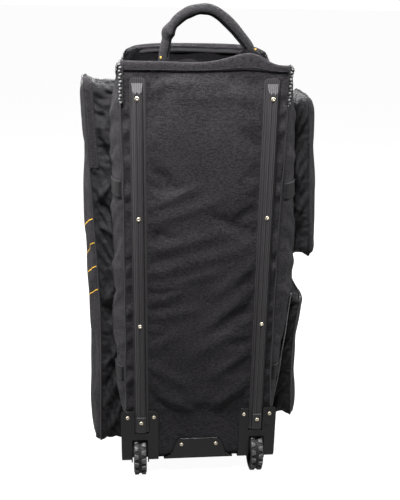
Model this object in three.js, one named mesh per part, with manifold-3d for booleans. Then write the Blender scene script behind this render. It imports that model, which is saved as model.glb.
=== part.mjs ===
// A wheeled cricket kit bag standing on its two wheels and two front feet.
// Millimetres, +Z up. The wheel side of the bag, its back, faces -Y. The origin is
// on the floor, in the middle of the bag's bounding box.
import * as THREE from "three";
import { mergeVertices } from "three/addons/utils/BufferGeometryUtils.js";
import Module from "manifold-3d";

const wasm = await Module();
wasm.setup();

// Driving dimensions of the cloth body.
const BODY_WIDTH = 350; // across the back panel, from piping to piping
const BODY_DEPTH = 290;
const BODY_HEIGHT = 952;
const GROUND_CLEARANCE = 43; // floor to the underside of the body
const SIDE_BULGE = 47; // how far the stuffed sides swell past the piping at most
const BACK_PUFF = 5; // the back panel between the rails
const LID_PUFF = 12;
const EDGE_RADIUS = 22; // of the body's bottom edges
const CLOTH_WALL = 3; // padded cloth
const GAP = 0.4; // between neighbouring pieces
const END_DISH = 30; // how far the top end sinks inside its rim
const HEM = 13; // how far the top end's cloth folds down over the back and the lid
const PIPING_RADIUS = 2.4;
const ZIP_RADIUS = 3.6;
const ZIP_REACH = 80; // how far the main zip runs down the back corners

// Driving dimensions of the running gear.
const WHEEL_RADIUS = 52;
const WHEEL_WIDTH = 31;
const WHEEL_INSET = 32; // from the piping to the wheel's middle
const WHEEL_Y = 20; // the axle, inwards from the back panel
const WHEEL_PLAY = 3; // beside the wheel in its well
const TREAD_DEPTH = 2.6;
const TREAD_LUGS = 17;
const TYRE_THICKNESS = 17;
const AXLE_RADIUS = 4;
const AXLE_PLAY = 0.5;
const HOUSING_WIDTH = 90;
const HOUSING_HEIGHT = 143;
const HOUSING_WALL = 4;
const HOUSING_CORNER = 8;
const HOUSING_WRAP = 45; // round the side of the bag
const WELL_DEPTH = 78;
const CROSSBAR_LOW = 105; // above the floor
const CROSSBAR_HIGH = 123;
const KICK_TOP_WIDTH = 96;
const KICK_BOTTOM_WIDTH = 170;
const KICK_HEIGHT = 66;
const KICK_WRAP = 60; // under the bag
const FOOT_WIDTH = 52;
const FOOT_DEPTH = 44;
const FOOT_SIDE_INSET = 57; // from the piping to the foot's middle
const FOOT_INSET = 30; // from the lid to the foot
const FOOT_FLARE = 0.86; // the foot's sole as a share of its top

// Driving dimensions of the glide rails.
const RAIL_INSET = 37; // from the piping to the rail's middle
const RAIL_TOP_INSET = 30; // from the body's top edge to the rail's end
const FLANGE_WIDTH = 33;
const FLANGE_THICKNESS = 2.5;
const RIDGE_WIDTH = 20;
const RIDGE_HEIGHT = 11;
const RIDGE_OFFSET = 1.3; // the ridge lies off the flange's middle, outwards
const RIBS = 2;
const RIB_HEIGHT = 1.2;
const SCOOP_LENGTH = 21; // the ramp at the ridge's top end
const SCOOP_DROP = 11; // from the flange's top to the ridge's
const BLOCK_WIDTH = 21;
const BLOCK_HEIGHT = 43;
const BLOCK_DEPTH = 13;
const RIVET_RADIUS = 4.6;
const RIVET_DOME = 2;
const RIVET_RECESS = 6;
const RIVET_TOP_INSET = 70; // from the body's top edge to the highest rivet
const RAIL_RIVETS = 4; // the lowest holds the end block
const RIVET_PITCH_SHARE = 0.268; // of the body's height

// Driving dimensions of the haul handle.
const HANDLE_RADIUS = 11.5;
const HANDLE_SPAN = 180;
const HANDLE_RISE = 96; // from the lower foot to the top of the grip's middle line
const HANDLE_Y = 70;
const TAB_WIDTH = 46;
const TAB_LENGTH = 40;

// Webbing bands sewn round the sides.
const WEBBING_WIDTH = 38;
const WEBBING_THICKNESS = 2;
const WEBBING_ROWS = [
  { name: "upper", share: 0.724, skew: 7 },
  { name: "lower", share: 0.256, skew: 0 },
];

// Pockets: where each one lies on its side of the bag. low and high are shares of the
// body's height, reach shares of the way from the bag's middle to the outer edge, crown
// the share of the dome that is left near the top, far_corner the far top corner's radius.
const POCKET_WALL = 2;
const POCKET_PIPING = 2.2;
const POCKET_Y = 49; // the near wall, inwards from the back panel
const POCKET_DEPTH = 200;
const POCKET_OUT = 57; // from the piping to the pocket's outer edge
const POCKET_CREASE = 7; // how far the gusset pulls in between its edges
const POCKETS = [
  { name: "left_pocket", side: -1, low: 0.0184, high: 0.9653, corner: 26, far_corner: 80,
    dome: 24, crown: 0.5, slant: 0,
    reach: [{ at: 0, share: 1.04 }, { at: 0.4, share: 1 }, { at: 0.65, share: 1.02 },
      { at: 1, share: 1.055 }] },
  { name: "upper_pocket", side: 1, low: 0.5326, high: 0.9233, corner: 28, far_corner: 80,
    dome: 18, crown: 0.9, slant: 0,
    reach: [{ at: 0, share: 1.1 }, { at: 0.5, share: 1.04 }, { at: 1, share: 0.985 }] },
  { name: "lower_pocket", side: 1, low: 0.0788, high: 0.4863, corner: 26, far_corner: 40,
    dome: 14, crown: 1, slant: 52,
    reach: [{ at: 0, share: 1.02 }, { at: 0.5, share: 0.99 }, { at: 0.8, share: 1.02 },
      { at: 1, share: 1.04 }] },
];

// Sections of the body from bottom to top. left and right are shares of half the width,
// left_bulge and right_bulge of the sides' bulge, lid and puff of the lid's and the back
// panel's, front of the width at the lid, and at is a share of the height.
const SECTIONS = [
  { at: EDGE_RADIUS / BODY_HEIGHT, left: 1.01, right: 1, front: 0.99,
    left_bulge: 0.14, right_bulge: 0.14, lid: 0.25, puff: 0 },
  { at: 0.15, left: 1.01, right: 1, front: 1,
    left_bulge: 0.18, right_bulge: 0.2, lid: 0.34, puff: 0 },
  { at: 0.21, left: 1.01, right: 0.985, front: 1,
    left_bulge: 0.37, right_bulge: 0.42, lid: 0.74, puff: 0.6 },
  { at: 0.32, left: 1, right: 0.975, front: 1,
    left_bulge: 0.47, right_bulge: 0.68, lid: 0.95, puff: 1 },
  { at: 0.55, left: 0.989, right: 0.971, front: 0.99,
    left_bulge: 0.49, right_bulge: 1, lid: 1, puff: 0.9 },
  { at: 0.7, left: 0.986, right: 0.978, front: 0.977,
    left_bulge: 0.49, right_bulge: 0.8, lid: 1, puff: 1 },
  { at: 0.88, left: 0.995, right: 1, front: 0.97,
    left_bulge: 0.4, right_bulge: 0.5, lid: 0.8, puff: 0.6 },
  { at: 0.985, left: 0.99, right: 1.015, front: 0.98,
    left_bulge: 0.14, right_bulge: 0.14, lid: 0.25, puff: 0.1 },
];

// Half of the body's outline seen from above, from the back's middle round the side to
// the lid's middle. across is a share of the half width, in a share of the depth.
const OUTLINE = [
  { across: 0, in: 0, puff: -1 },
  { across: 0.38, in: 0, puff: -0.8 },
  { across: 0.67, in: 0, puff: 0 },
  { across: 0.99, in: 0.001, puff: 0, seam: "back" },
  { across: 1, in: 0.03, bulge: 0.36 },
  { across: 1, in: 0.11, bulge: 0.82 },
  { across: 1, in: 0.3, bulge: 1 },
  { across: 1, in: 0.6, bulge: 0.95 },
  { across: 1, in: 0.84, bulge: 0.58 },
  { across: 1, in: 0.94, bulge: 0.14 },
  { across: 0.965, in: 0.985, seam: "lid" },
  { across: 0.7, in: 1, lid: 0.5 },
  { across: 0, in: 1, lid: 1 },
];

// Rings that close the two ends: inset is a share of the way to the middle.
const BOTTOM_RINGS = [
  { inset: 0.3, up: 0 },
  { inset: 0.06, up: 0.09 },
  { inset: 0.018, up: 0.42 },
];
const TOP_RINGS = [
  { inset: 0, sink: 0 },
  { inset: 0.05, sink: 0.06 },
  { inset: 0.22, sink: 0.85 },
  { inset: 0.52, sink: 1 },
];

// Where the haul handle pulls the top end up, and where the lid's edge arches.
const PULLS = [
  { x: -0.46, y: 0.25, lift: 30, spread: 32 },
  { x: 0.57, y: 0.22, lift: 56, spread: 43 },
];
const LID_ARCH = 22;
const SIDE_SAG = 14; // how far the end's rim drops along the sides

// Colours, as the record's slots have them.
const finish = (color, roughness, metalness = 0) =>
  new THREE.MeshStandardMaterial({ color, roughness, metalness });
const BLACK_CLOTH = finish(0x2b2a2c, 0.9);
const BLACK_GUSSET = finish(0x232225, 0.85);
const BLACK_WEBBING = finish(0x2e2d2f, 0.8);
const BLACK_PIPING = finish(0x3a393b, 0.6);
const BLACK_ZIP = finish(0x4a494b, 0.45);
const RAIL_PLASTIC = finish(0x3c3b3c, 0.5);
const HOUSING_PLASTIC = finish(0x1d1c1e, 0.4);
const TYRE_RUBBER = finish(0x252426, 0.75);
const HUB_PLASTIC = finish(0x2a292b, 0.5);
const STEEL = finish(0xd8d4c8, 0.3, 1);

const body_bottom = GROUND_CLEARANCE;
const body_top = GROUND_CLEARANCE + BODY_HEIGHT;
const half_width = BODY_WIDTH / 2;
const wheel_x = half_width - WHEEL_INSET;
const foot_x = half_width - FOOT_SIDE_INSET;
const rail_x = half_width - RAIL_INSET;
const rail_top = body_top - RAIL_TOP_INSET;
const rivet_top = body_top - RIVET_TOP_INSET;
const rivet_pitch = BODY_HEIGHT * RIVET_PITCH_SHARE;
const pocket_reach = half_width + POCKET_OUT;
const pockets = POCKETS.map((pocket) => ({
  ...pocket,
  low: body_bottom + pocket.low * BODY_HEIGHT,
  high: body_bottom + pocket.high * BODY_HEIGHT,
}));

// Solids and geometries.
const SLIVER = 0.05; // flaws of a cut smaller than this are closed up
function toSolid(geometry) {
  const bare = geometry.clone();
  bare.deleteAttribute("normal");
  bare.deleteAttribute("uv");
  const merged = mergeVertices(bare, 1e-4);
  return new wasm.Manifold(
    new wasm.Mesh({
      numProp: 3,
      vertProperties: new Float32Array(merged.attributes.position.array),
      triVerts: new Uint32Array(merged.index.array),
    }),
  );
}

function toGeometry(solid) {
  const { numProp, vertProperties, triVerts } = solid.simplify(SLIVER).getMesh();
  const count = vertProperties.length / numProp;
  const position = new Float32Array(count * 3);
  for (let i = 0; i < count; i++)
    position.set(vertProperties.subarray(i * numProp, i * numProp + 3), i * 3);
  const geometry = new THREE.BufferGeometry();
  geometry.setAttribute("position", new THREE.BufferAttribute(position, 3));
  geometry.setIndex(new THREE.BufferAttribute(new Uint32Array(triVerts), 1));
  return geometry;
}

// A closed surface through rings of points. Each ring is a loop; the rows either
// shut on a first and last middle point, or run round into each other.
function skin(rings, { first, last, loop = false, flip = false }) {
  const size = rings[0].length;
  const points = rings.flat();
  const faces = [];
  const rows = loop ? rings.length : rings.length - 1;
  for (let k = 0; k < rows; k++) {
    for (let j = 0; j < size; j++) {
      const a = k * size + j;
      const b = k * size + ((j + 1) % size);
      const c = ((k + 1) % rings.length) * size + j;
      const d = ((k + 1) % rings.length) * size + ((j + 1) % size);
      faces.push([a, b, d], [a, d, c]);
    }
  }
  if (first) {
    const pole = points.push(first) - 1;
    for (let j = 0; j < size; j++) faces.push([pole, (j + 1) % size, j]);
  }
  if (last) {
    const pole = points.push(last) - 1;
    const base = (rings.length - 1) * size;
    for (let j = 0; j < size; j++) faces.push([pole, base + j, base + ((j + 1) % size)]);
  }
  const geometry = new THREE.BufferGeometry();
  const flat = points.flatMap((p) => [p.x, p.y, p.z]);
  geometry.setAttribute("position", new THREE.Float32BufferAttribute(flat, 3));
  geometry.setIndex(faces.flatMap(([a, b, c]) => (flip ? [a, c, b] : [a, b, c])));
  return geometry;
}

function box(low, high) {
  const size = high.map((h, i) => h - low[i]);
  return toSolid(
    new THREE.BoxGeometry(...size).translate(...low.map((l, i) => l + size[i] / 2)),
  );
}

// A rod along X.
function rod(radius, length, x, y, z, sides) {
  return toSolid(
    new THREE.CylinderGeometry(radius, radius, length, sides)
      .rotateZ(Math.PI / 2)
      .translate(x, y, z),
  );
}

// A rod along Y, whose outer end is at y.
function studHole(radius, depth, x, y, z) {
  return toSolid(
    new THREE.CylinderGeometry(radius, radius, depth, 10).translate(x, y + depth / 2, z),
  );
}

// A path whose even steps fall on its own corners.
class CornerPath extends THREE.Curve {
  constructor(points) {
    super();
    this.points = points;
  }
  getUtoTmapping(u) {
    return u;
  }
  getPoint(t, target = new THREE.Vector3()) {
    const place = THREE.MathUtils.clamp(t, 0, 1) * (this.points.length - 1);
    const i = Math.min(Math.floor(place), this.points.length - 2);
    return target.lerpVectors(this.points[i], this.points[i + 1], place - i);
  }
}

// A round cord through points.
function cord(points, radius, sides) {
  const section = new THREE.Shape();
  for (let i = 0; i < sides; i++) {
    const angle = (2 * Math.PI * i) / sides;
    const at = [radius * Math.cos(angle), radius * Math.sin(angle)];
    if (i) section.lineTo(...at);
    else section.moveTo(...at);
  }
  return new THREE.ExtrudeGeometry(section, {
    steps: points.length - 1,
    extrudePath: new CornerPath(points),
    bevelEnabled: false,
    curveSegments: 1,
  });
}

// A flat outline in X and Z, extruded along Y from low to high.
function plateXZ(outline, low, high) {
  const geometry = new THREE.ExtrudeGeometry(outline, {
    depth: high - low,
    bevelEnabled: false,
    curveSegments: 2,
  });
  return toSolid(geometry.rotateX(Math.PI / 2).translate(0, high, 0));
}

// A flat outline in Y and Z, extruded along X from low to high.
function plateYZ(outline, low, high) {
  const geometry = new THREE.ExtrudeGeometry(outline, {
    depth: high - low,
    bevelEnabled: false,
    curveSegments: 2,
  });
  const turn = new THREE.Matrix4().set(0, 0, 1, low, 1, 0, 0, 0, 0, 1, 0, 0, 0, 0, 0, 1);
  return toSolid(geometry.applyMatrix4(turn));
}

function roundedRectangle(x0, x1, z0, z1, radius) {
  const shape = new THREE.Shape();
  shape.moveTo(x0 + radius, z0);
  shape.lineTo(x1 - radius, z0);
  shape.absarc(x1 - radius, z0 + radius, radius, -Math.PI / 2, 0);
  shape.lineTo(x1, z1 - radius);
  shape.absarc(x1 - radius, z1 - radius, radius, 0, Math.PI / 2);
  shape.lineTo(x0 + radius, z1);
  shape.absarc(x0 + radius, z1 - radius, radius, Math.PI / 2, Math.PI);
  shape.lineTo(x0, z0 + radius);
  shape.absarc(x0 + radius, z0 + radius, radius, Math.PI, 1.5 * Math.PI);
  return shape;
}

const union = (solids) => solids.reduce((a, b) => a.add(b));

// Values between the rows of a table, by its at column.
function between(rows, at, column) {
  const next = rows.findIndex((r) => r.at >= at);
  if (next === 0) return rows[0][column];
  if (next < 0) return rows[rows.length - 1][column];
  const a = rows[next - 1];
  const b = rows[next];
  return a[column] + ((at - a.at) / (b.at - a.at)) * (b[column] - a[column]);
}

// The body's form.
const bump = (distance, spread) => Math.exp(-(distance ** 2) / (2 * spread ** 2));

// How far the top end's surface lies above or below the body's height at a point.
function topRise(x, y) {
  const arch = LID_ARCH * Math.max(0, Math.cos((Math.PI * x) / BODY_WIDTH));
  const towards_lid = THREE.MathUtils.smoothstep(y / BODY_DEPTH, 0.6, 1);
  const pulled = PULLS.reduce(
    (sum, p) =>
      sum +
      p.lift * bump(Math.hypot(x - p.x * half_width, y - p.y * BODY_DEPTH), p.spread),
    0,
  );
  const along = THREE.MathUtils.clamp(y / BODY_DEPTH, 0, 1);
  const sagged = SIDE_SAG * Math.abs(x / half_width) ** 4 * Math.sin(Math.PI * along) ** 2;
  return arch * towards_lid + pulled - sagged;
}

// One loop round the body at a section, seen from above it runs anticlockwise.
function bodyRing(section, z) {
  const point = (row, side) => {
    const half = half_width * (side < 0 ? section.left : section.right);
    const narrowing = 1 + (section.front - 1) * row.in;
    const bulge = side < 0 ? section.left_bulge : section.right_bulge;
    const across = half * narrowing * row.across + SIDE_BULGE * bulge * (row.bulge ?? 0);
    const puff = BACK_PUFF * section.puff * (row.puff ?? 0) + LID_PUFF * section.lid * (row.lid ?? 0);
    return new THREE.Vector3(side * across, row.in * BODY_DEPTH + puff, z);
  };
  const right = OUTLINE.map((row) => point(row, 1));
  const left = OUTLINE.slice(1, -1).map((row) => point(row, -1)).reverse();
  return [...right, ...left];
}

function bodyRings() {
  const middle = new THREE.Vector3(0, BODY_DEPTH / 2, 0);
  const inwards = (ring, inset) =>
    ring.map((p) => p.clone().lerp(new THREE.Vector3(middle.x, middle.y, p.z), inset));
  const sides = SECTIONS.map((s) => bodyRing(s, body_bottom + s.at * BODY_HEIGHT));
  const low = BOTTOM_RINGS.map((r) =>
    inwards(sides[0], r.inset).map((p) => p.setZ(body_bottom + r.up * EDGE_RADIUS)),
  );
  const last = sides[sides.length - 1];
  const high = TOP_RINGS.map((r) =>
    inwards(last, r.inset).map((p) =>
      p.setZ(body_top + topRise(p.x, p.y) - r.sink * END_DISH),
    ),
  );
  for (const p of last) p.z += 0.7 * topRise(p.x, p.y);
  return { rings: [...low, ...sides, ...high], rim: low.length + sides.length };
}

const { rings: BODY_RINGS, rim: RIM_ROW } = bodyRings();
const LOW_ROW = BOTTOM_RINGS.length; // the lowest section, where the side walls begin
const LID_MIDDLE = OUTLINE.length - 1;
const ring_size = BODY_RINGS[0].length;
const body_foot = new THREE.Vector3(0, BODY_DEPTH / 2, body_bottom);
const body_crown = BODY_RINGS[BODY_RINGS.length - 1]
  .reduce((sum, p) => sum.add(p), new THREE.Vector3())
  .divideScalar(ring_size);
const BODY_NORMALS = BODY_RINGS.map((ring, k) =>
  ring.map((_, j) => {
    const round = ring[(j + 1) % ring_size].clone().sub(ring[(j + ring_size - 1) % ring_size]);
    const up = (BODY_RINGS[k + 1]?.[j] ?? body_crown).clone();
    return round.cross(up.sub(BODY_RINGS[k - 1]?.[j] ?? body_foot)).normalize();
  }),
);

// The body's closed form, moved outwards along its normals.
const forms = new Map();
function bodyForm(outwards) {
  const key = outwards.toFixed(3);
  if (forms.has(key)) return forms.get(key);
  const moved = BODY_RINGS.map((ring, k) =>
    ring.map((p, j) => p.clone().addScaledVector(BODY_NORMALS[k][j], outwards)),
  );
  const up = new THREE.Vector3(0, 0, outwards);
  const form = toSolid(
    skin(moved, { first: body_foot.clone().sub(up), last: body_crown.clone().add(up) }),
  );
  forms.set(key, form);
  return form;
}

const seamColumn = (seam, side) => {
  const index = OUTLINE.findIndex((row) => row.seam === seam);
  return side > 0 ? index : ring_size - index;
};
const spot = (k, j) => ({ at: BODY_RINGS[k][j].clone(), out: BODY_NORMALS[k][j].clone() });
const steps = (from, to) =>
  Array.from({ length: Math.abs(to - from) + 1 }, (_, i) => from + i * Math.sign(to - from));

// Stations up the back corner seam between two heights.
const zip_end = body_top - ZIP_REACH;
const zip_low = body_bottom + EDGE_RADIUS;
function backSeam(side, low, high) {
  const column = steps(0, RIM_ROW).map((k) => spot(k, seamColumn("back", side)));
  const at = (z) => {
    const next = column.findIndex((s) => s.at.z >= z);
    const [a, b] = [column[next - 1], column[next]];
    const share = (z - a.at.z) / (b.at.z - a.at.z);
    return { at: a.at.clone().lerp(b.at, share), out: a.out.clone().lerp(b.out, share) };
  };
  const inside = column.filter((s) => s.at.z > low + 4 && s.at.z < high - 4);
  return [at(low), ...inside, at(high)];
}

// Stations along the end's rim from the back corner to the lid, and down the lid's edge.
function rimAndLid(side) {
  const back = seamColumn("back", side);
  const lid = seamColumn("lid", side);
  return [
    ...steps(back, lid).map((j) => spot(RIM_ROW, j)),
    ...steps(RIM_ROW - 1, LOW_ROW).map((k) => spot(k, lid)),
  ];
}

// Half of the main zip: up the back corner, along the end's rim, down the lid's edge
// and across under the lid to its middle.
function zipPath(side, stop) {
  const rise = backSeam(side, zip_end, BODY_RINGS[RIM_ROW][seamColumn("back", side)].z - 1);
  const under = steps(seamColumn("lid", side) + side, LID_MIDDLE).map((j) => spot(LOW_ROW, j));
  const last = under.pop();
  const before = under[under.length - 1];
  last.at.lerp(before.at, stop / Math.abs(before.at.x));
  return [...rise.slice(0, -1), ...rimAndLid(side), ...under, last].map((s) => s.at);
}

// A thin blade through the cloth along a seam.
function seamCut(stations) {
  const rings = stations.map(({ at, out }, i) => {
    const next = stations[i + 1] ?? stations[i];
    const before = stations[i - 1] ?? stations[i];
    const across = next.at.clone().sub(before.at).cross(out).setLength(GAP / 2);
    const corner = (depth, sign) =>
      at.clone().addScaledVector(out, depth).addScaledVector(across, sign);
    const [high, low] = [GAP * 4, -3 * CLOTH_WALL];
    return [corner(low, -1), corner(high, -1), corner(high, 1), corner(low, 1)];
  });
  const middle = (ring) => ring[0].clone().add(ring[2]).divideScalar(2);
  const blade = toSolid(
    skin(rings, { first: middle(rings[0]), last: middle(rings[rings.length - 1]) }),
  );
  return blade;
}

// A ball that clears the cloth under the zip where it turns a corner.
const cornerBall = ({ at, out }) => {
  const middle = at.clone().addScaledVector(out, -ZIP_RADIUS);
  const ball = new THREE.IcosahedronGeometry(ZIP_RADIUS + GAP, 1);
  return toSolid(ball.translate(middle.x, middle.y, middle.z));
};

const SLIDER_HALF = 9;
const slitAll = (z) =>
  box([-BODY_WIDTH, -BODY_DEPTH, z - GAP / 2], [BODY_WIDTH, 2 * BODY_DEPTH, z + GAP / 2]);

function wheelWell(side, grow) {
  return box(
    [side * wheel_x - well_half - grow, -60, 0],
    [side * wheel_x + well_half + grow, WELL_DEPTH + grow, well_top + grow],
  );
}
const well_half = WHEEL_WIDTH / 2 + WHEEL_PLAY + HOUSING_WALL - 1;
const well_top = 2 * WHEEL_RADIUS + WHEEL_PLAY + HOUSING_WALL;

// The six cloth panels: one shell, cut apart along its seams, piping and zip.
function bodyPanels() {
  const corner = (seam, side) => BODY_RINGS[RIM_ROW - 1][seamColumn(seam, side)];
  const hem = (seam, y0, y1) =>
    box(
      [corner(seam, -1).x - GAP, y0, body_top - HEM],
      [corner(seam, 1).x + GAP, y1, body_top - HEM + GAP],
    );
  const cutters = [
    hem("back", -60, 3 * CLOTH_WALL),
    hem("lid", corner("lid", 1).y - 2 * CLOTH_WALL, BODY_DEPTH + 60),
    slitAll(zip_low),
  ];
  for (const side of [-1, 1]) {
    const rim_z = BODY_RINGS[RIM_ROW][seamColumn("back", side)].z;
    const seam = [...backSeam(side, zip_low, rim_z - 1).slice(0, -1), ...rimAndLid(side)];
    cutters.push(seamCut(seam));
    for (const word of ["back", "lid"]) cutters.push(cornerBall(spot(RIM_ROW, seamColumn(word, side))));
    cutters.push(toSolid(cord(zipPath(side, 0), ZIP_RADIUS + GAP, 5)));
    const piped = backSeam(side, zip_low + 8, zip_end + 1).map((s) => s.at);
    cutters.push(toSolid(cord(piped, PIPING_RADIUS + GAP, 5)));
    cutters.push(wheelWell(side, GAP));
  }
  const shell = bodyForm(0).subtract(bodyForm(-CLOTH_WALL)).subtract(union(cutters));
  const parts = shell
    .decompose()
    .map((solid) => {
      const { min, max } = solid.boundingBox();
      const middle = new THREE.Vector3(...min).add(new THREE.Vector3(...max)).divideScalar(2);
      return { solid, middle, volume: solid.volume() };
    })
    .sort((a, b) => b.volume - a.volume)
    .slice(0, 6);
  const extreme = (measure) => parts.reduce((a, b) => (measure(b) > measure(a) ? b : a)).solid;
  return {
    back_panel: extreme((p) => -p.middle.y),
    front_lid: extreme((p) => p.middle.y),
    side_left: extreme((p) => -p.middle.x),
    side_right: extreme((p) => p.middle.x),
    bottom_end: extreme((p) => -p.middle.z),
    top_end: extreme((p) => p.middle.z),
  };
}

// Pockets.
const pocket_far = POCKET_Y + POCKET_DEPTH;
const ARC_STEPS = 3;

// The pocket's outline in Y and Z, pulled in by inset.
function pocketOutline(pocket, inset) {
  const near = Math.max(pocket.corner - inset, pocket.corner * 0.3);
  const far = pocket.far_corner - inset;
  const y0 = POCKET_Y + inset;
  const y1 = pocket_far - inset;
  const z0 = pocket.low + inset;
  const z1 = pocket.high - inset;
  const corners = [
    { y: y1 - near, z: z0 + near, radius: near, turn: -0.5 },
    { y: y1 - far, z: z1 - far, radius: far, turn: 0 },
    { y: y0 + near, z: z1 - near, radius: near, turn: 0.5 },
    { y: y0 + near, z: z0 + near, radius: near, turn: 1 },
  ];
  const points = [];
  corners.forEach((c, i) => {
    for (let k = 0; k <= ARC_STEPS; k++) {
      const angle = Math.PI * (c.turn + (0.5 * k) / ARC_STEPS);
      points.push({ y: c.y + c.radius * Math.cos(angle), z: c.z + c.radius * Math.sin(angle) });
    }
    const d = corners[(i + 1) % 4];
    const along = (share) => {
      const out = Math.PI * (c.turn + 0.5);
      const from = { y: c.y + c.radius * Math.cos(out), z: c.z + c.radius * Math.sin(out) };
      const to = { y: d.y + d.radius * Math.cos(out), z: d.z + d.radius * Math.sin(out) };
      return { y: from.y + share * (to.y - from.y), z: from.z + share * (to.z - from.z) };
    };
    for (const share of i % 2 ? [0.5] : [0.33, 0.67]) points.push(along(share));
  });
  return points;
}

// How far from the bag's middle the pocket's outer edge lies at a height.
function pocketReach(pocket, z) {
  const at = (z - pocket.low) / (pocket.high - pocket.low);
  return pocket_reach * between(pocket.reach, at, "share");
}

// A slack pocket's top leans out and down: its near top edge sits lower outside.
function pocketDrop(pocket, z, out) {
  const at = (z - pocket.low) / (pocket.high - pocket.low);
  return pocket.slant * out * THREE.MathUtils.smoothstep(at, 0.72, 1);
}

// How far the face swells past its edge at a height, at most.
function pocketDome(pocket, z) {
  const at = (z - pocket.low) / (pocket.high - pocket.low);
  return pocket.dome * (1 - (1 - pocket.crown) * THREE.MathUtils.smoothstep(at, 0.6, 0.85));
}

function pocketRing(pocket, inset, out, lift = () => 0) {
  const root = half_width - CLOTH_WALL;
  const ring = pocketOutline(pocket, inset).map(({ y, z }) => {
    const reach = pocketReach(pocket, z);
    const x = root + out * (reach - root) + lift(z);
    return new THREE.Vector3(pocket.side * x, y, z - pocketDrop(pocket, z, out));
  });
  return ring;
}

const GUSSET_STATIONS = [
  { out: 0, crease: 0.3 },
  { out: 0.7, crease: 1 },
  { out: 1, crease: 0 },
];

function pocketGusset(pocket, bands) {
  const outer = GUSSET_STATIONS.map((s) => pocketRing(pocket, s.crease * POCKET_CREASE, s.out));
  const inner = GUSSET_STATIONS.map((s) =>
    pocketRing(pocket, s.crease * POCKET_CREASE + POCKET_WALL, s.out),
  ).reverse();
  const whole = toSolid(skin([...outer, ...inner], { loop: true, flip: pocket.side < 0 }));
  return whole.subtract(bodyForm(GAP)).subtract(bands);
}

const FACE_RINGS = [
  { inset: 0, rise: 0 },
  { inset: 1, rise: 0.3 },
  { inset: 14, rise: 0.66 },
  { inset: 48, rise: 0.95 },
];

function pocketFace(pocket) {
  const ring = (row, thickness) =>
    pocketRing(
      pocket,
      row.inset + thickness,
      1,
      (z) => GAP + Math.max(0, row.rise * pocketDome(pocket, z) - thickness),
    );
  const outer = FACE_RINGS.map((row) => ring(row, 0));
  const inner = FACE_RINGS.filter((_, i) => i !== 1).map((row) => ring(row, POCKET_WALL)).reverse();
  const middle = (thickness) => {
    const z = (pocket.low + pocket.high) / 2;
    const x = pocketReach(pocket, z) + GAP + pocketDome(pocket, z) - thickness;
    return new THREE.Vector3(pocket.side * x, (POCKET_Y + pocket_far) / 2, z);
  };
  return skin([...inner, ...outer], {
    first: middle(POCKET_WALL),
    last: middle(0),
    flip: pocket.side < 0,
  });
}

// Piping round the pocket's outer edge, its two ends meeting underneath.
function pocketPiping(pocket) {
  const ring = pocketRing(pocket, -(POCKET_PIPING + 1.6 * GAP), 1);
  const middle = ring.length - 1;
  const from = ring[middle];
  const start = from.clone().lerp(ring[0], 0.4);
  const end = from.clone().lerp(ring[0], 0.36);
  return cord([start, ...ring, end], POCKET_PIPING, 4);
}

// Webbing sewn flat round the side, from the back piping to the lid's zip.
function webbing(row, side, grow) {
  const z = body_bottom + row.share * BODY_HEIGHT - (side > 0 ? row.skew : 0);
  const start = PIPING_RADIUS + 2 * GAP;
  const slab = box(
    [side > 0 ? 0 : -BODY_WIDTH, start, z - WEBBING_WIDTH / 2 - grow],
    [side > 0 ? BODY_WIDTH : 0, BODY_DEPTH * 0.955, z + WEBBING_WIDTH / 2 + grow],
  );
  return bodyForm(GAP + WEBBING_THICKNESS + grow).subtract(bodyForm(GAP - grow)).intersect(slab);
}

// Rails, housings and wheels. side is -1 on the left and 1 on the right.
const ridge_top_y = -GAP - FLANGE_THICKNESS - RIDGE_HEIGHT;
const rail_low = CROSSBAR_HIGH + 3;
const block_low = rail_low + 6;
const block_high = block_low + BLOCK_HEIGHT;
const scoop_high = rail_top - SCOOP_DROP;

function railProfile(side) {
  const out = (x) => side * (rail_x + x);
  const ridge = RIDGE_WIDTH / 2;
  const flange_y = -GAP - FLANGE_THICKNESS;
  const shape = new THREE.Shape();
  const start = RIDGE_OFFSET - ridge;
  const rib = RIDGE_WIDTH / (RIBS * 2 + 1);
  const top = [];
  for (let i = 0; i < RIBS * 2 + 1; i++) {
    const x = start + rib * (i + 0.5);
    const y = ridge_top_y + (i % 2 ? 0 : RIB_HEIGHT);
    top.push([x - rib * 0.3, y], [x + rib * 0.3, y]);
  }
  const outline = [
    [-FLANGE_WIDTH / 2, -GAP],
    [-FLANGE_WIDTH / 2, flange_y],
    [start - 1.5, flange_y],
    ...top,
    [RIDGE_OFFSET + ridge + 1.5, flange_y],
    [FLANGE_WIDTH / 2, flange_y],
    [FLANGE_WIDTH / 2, -GAP],
  ];
  outline.forEach(([x, y], i) => (i ? shape.lineTo(out(x), y) : shape.moveTo(out(x), y)));
  return shape;
}

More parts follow.
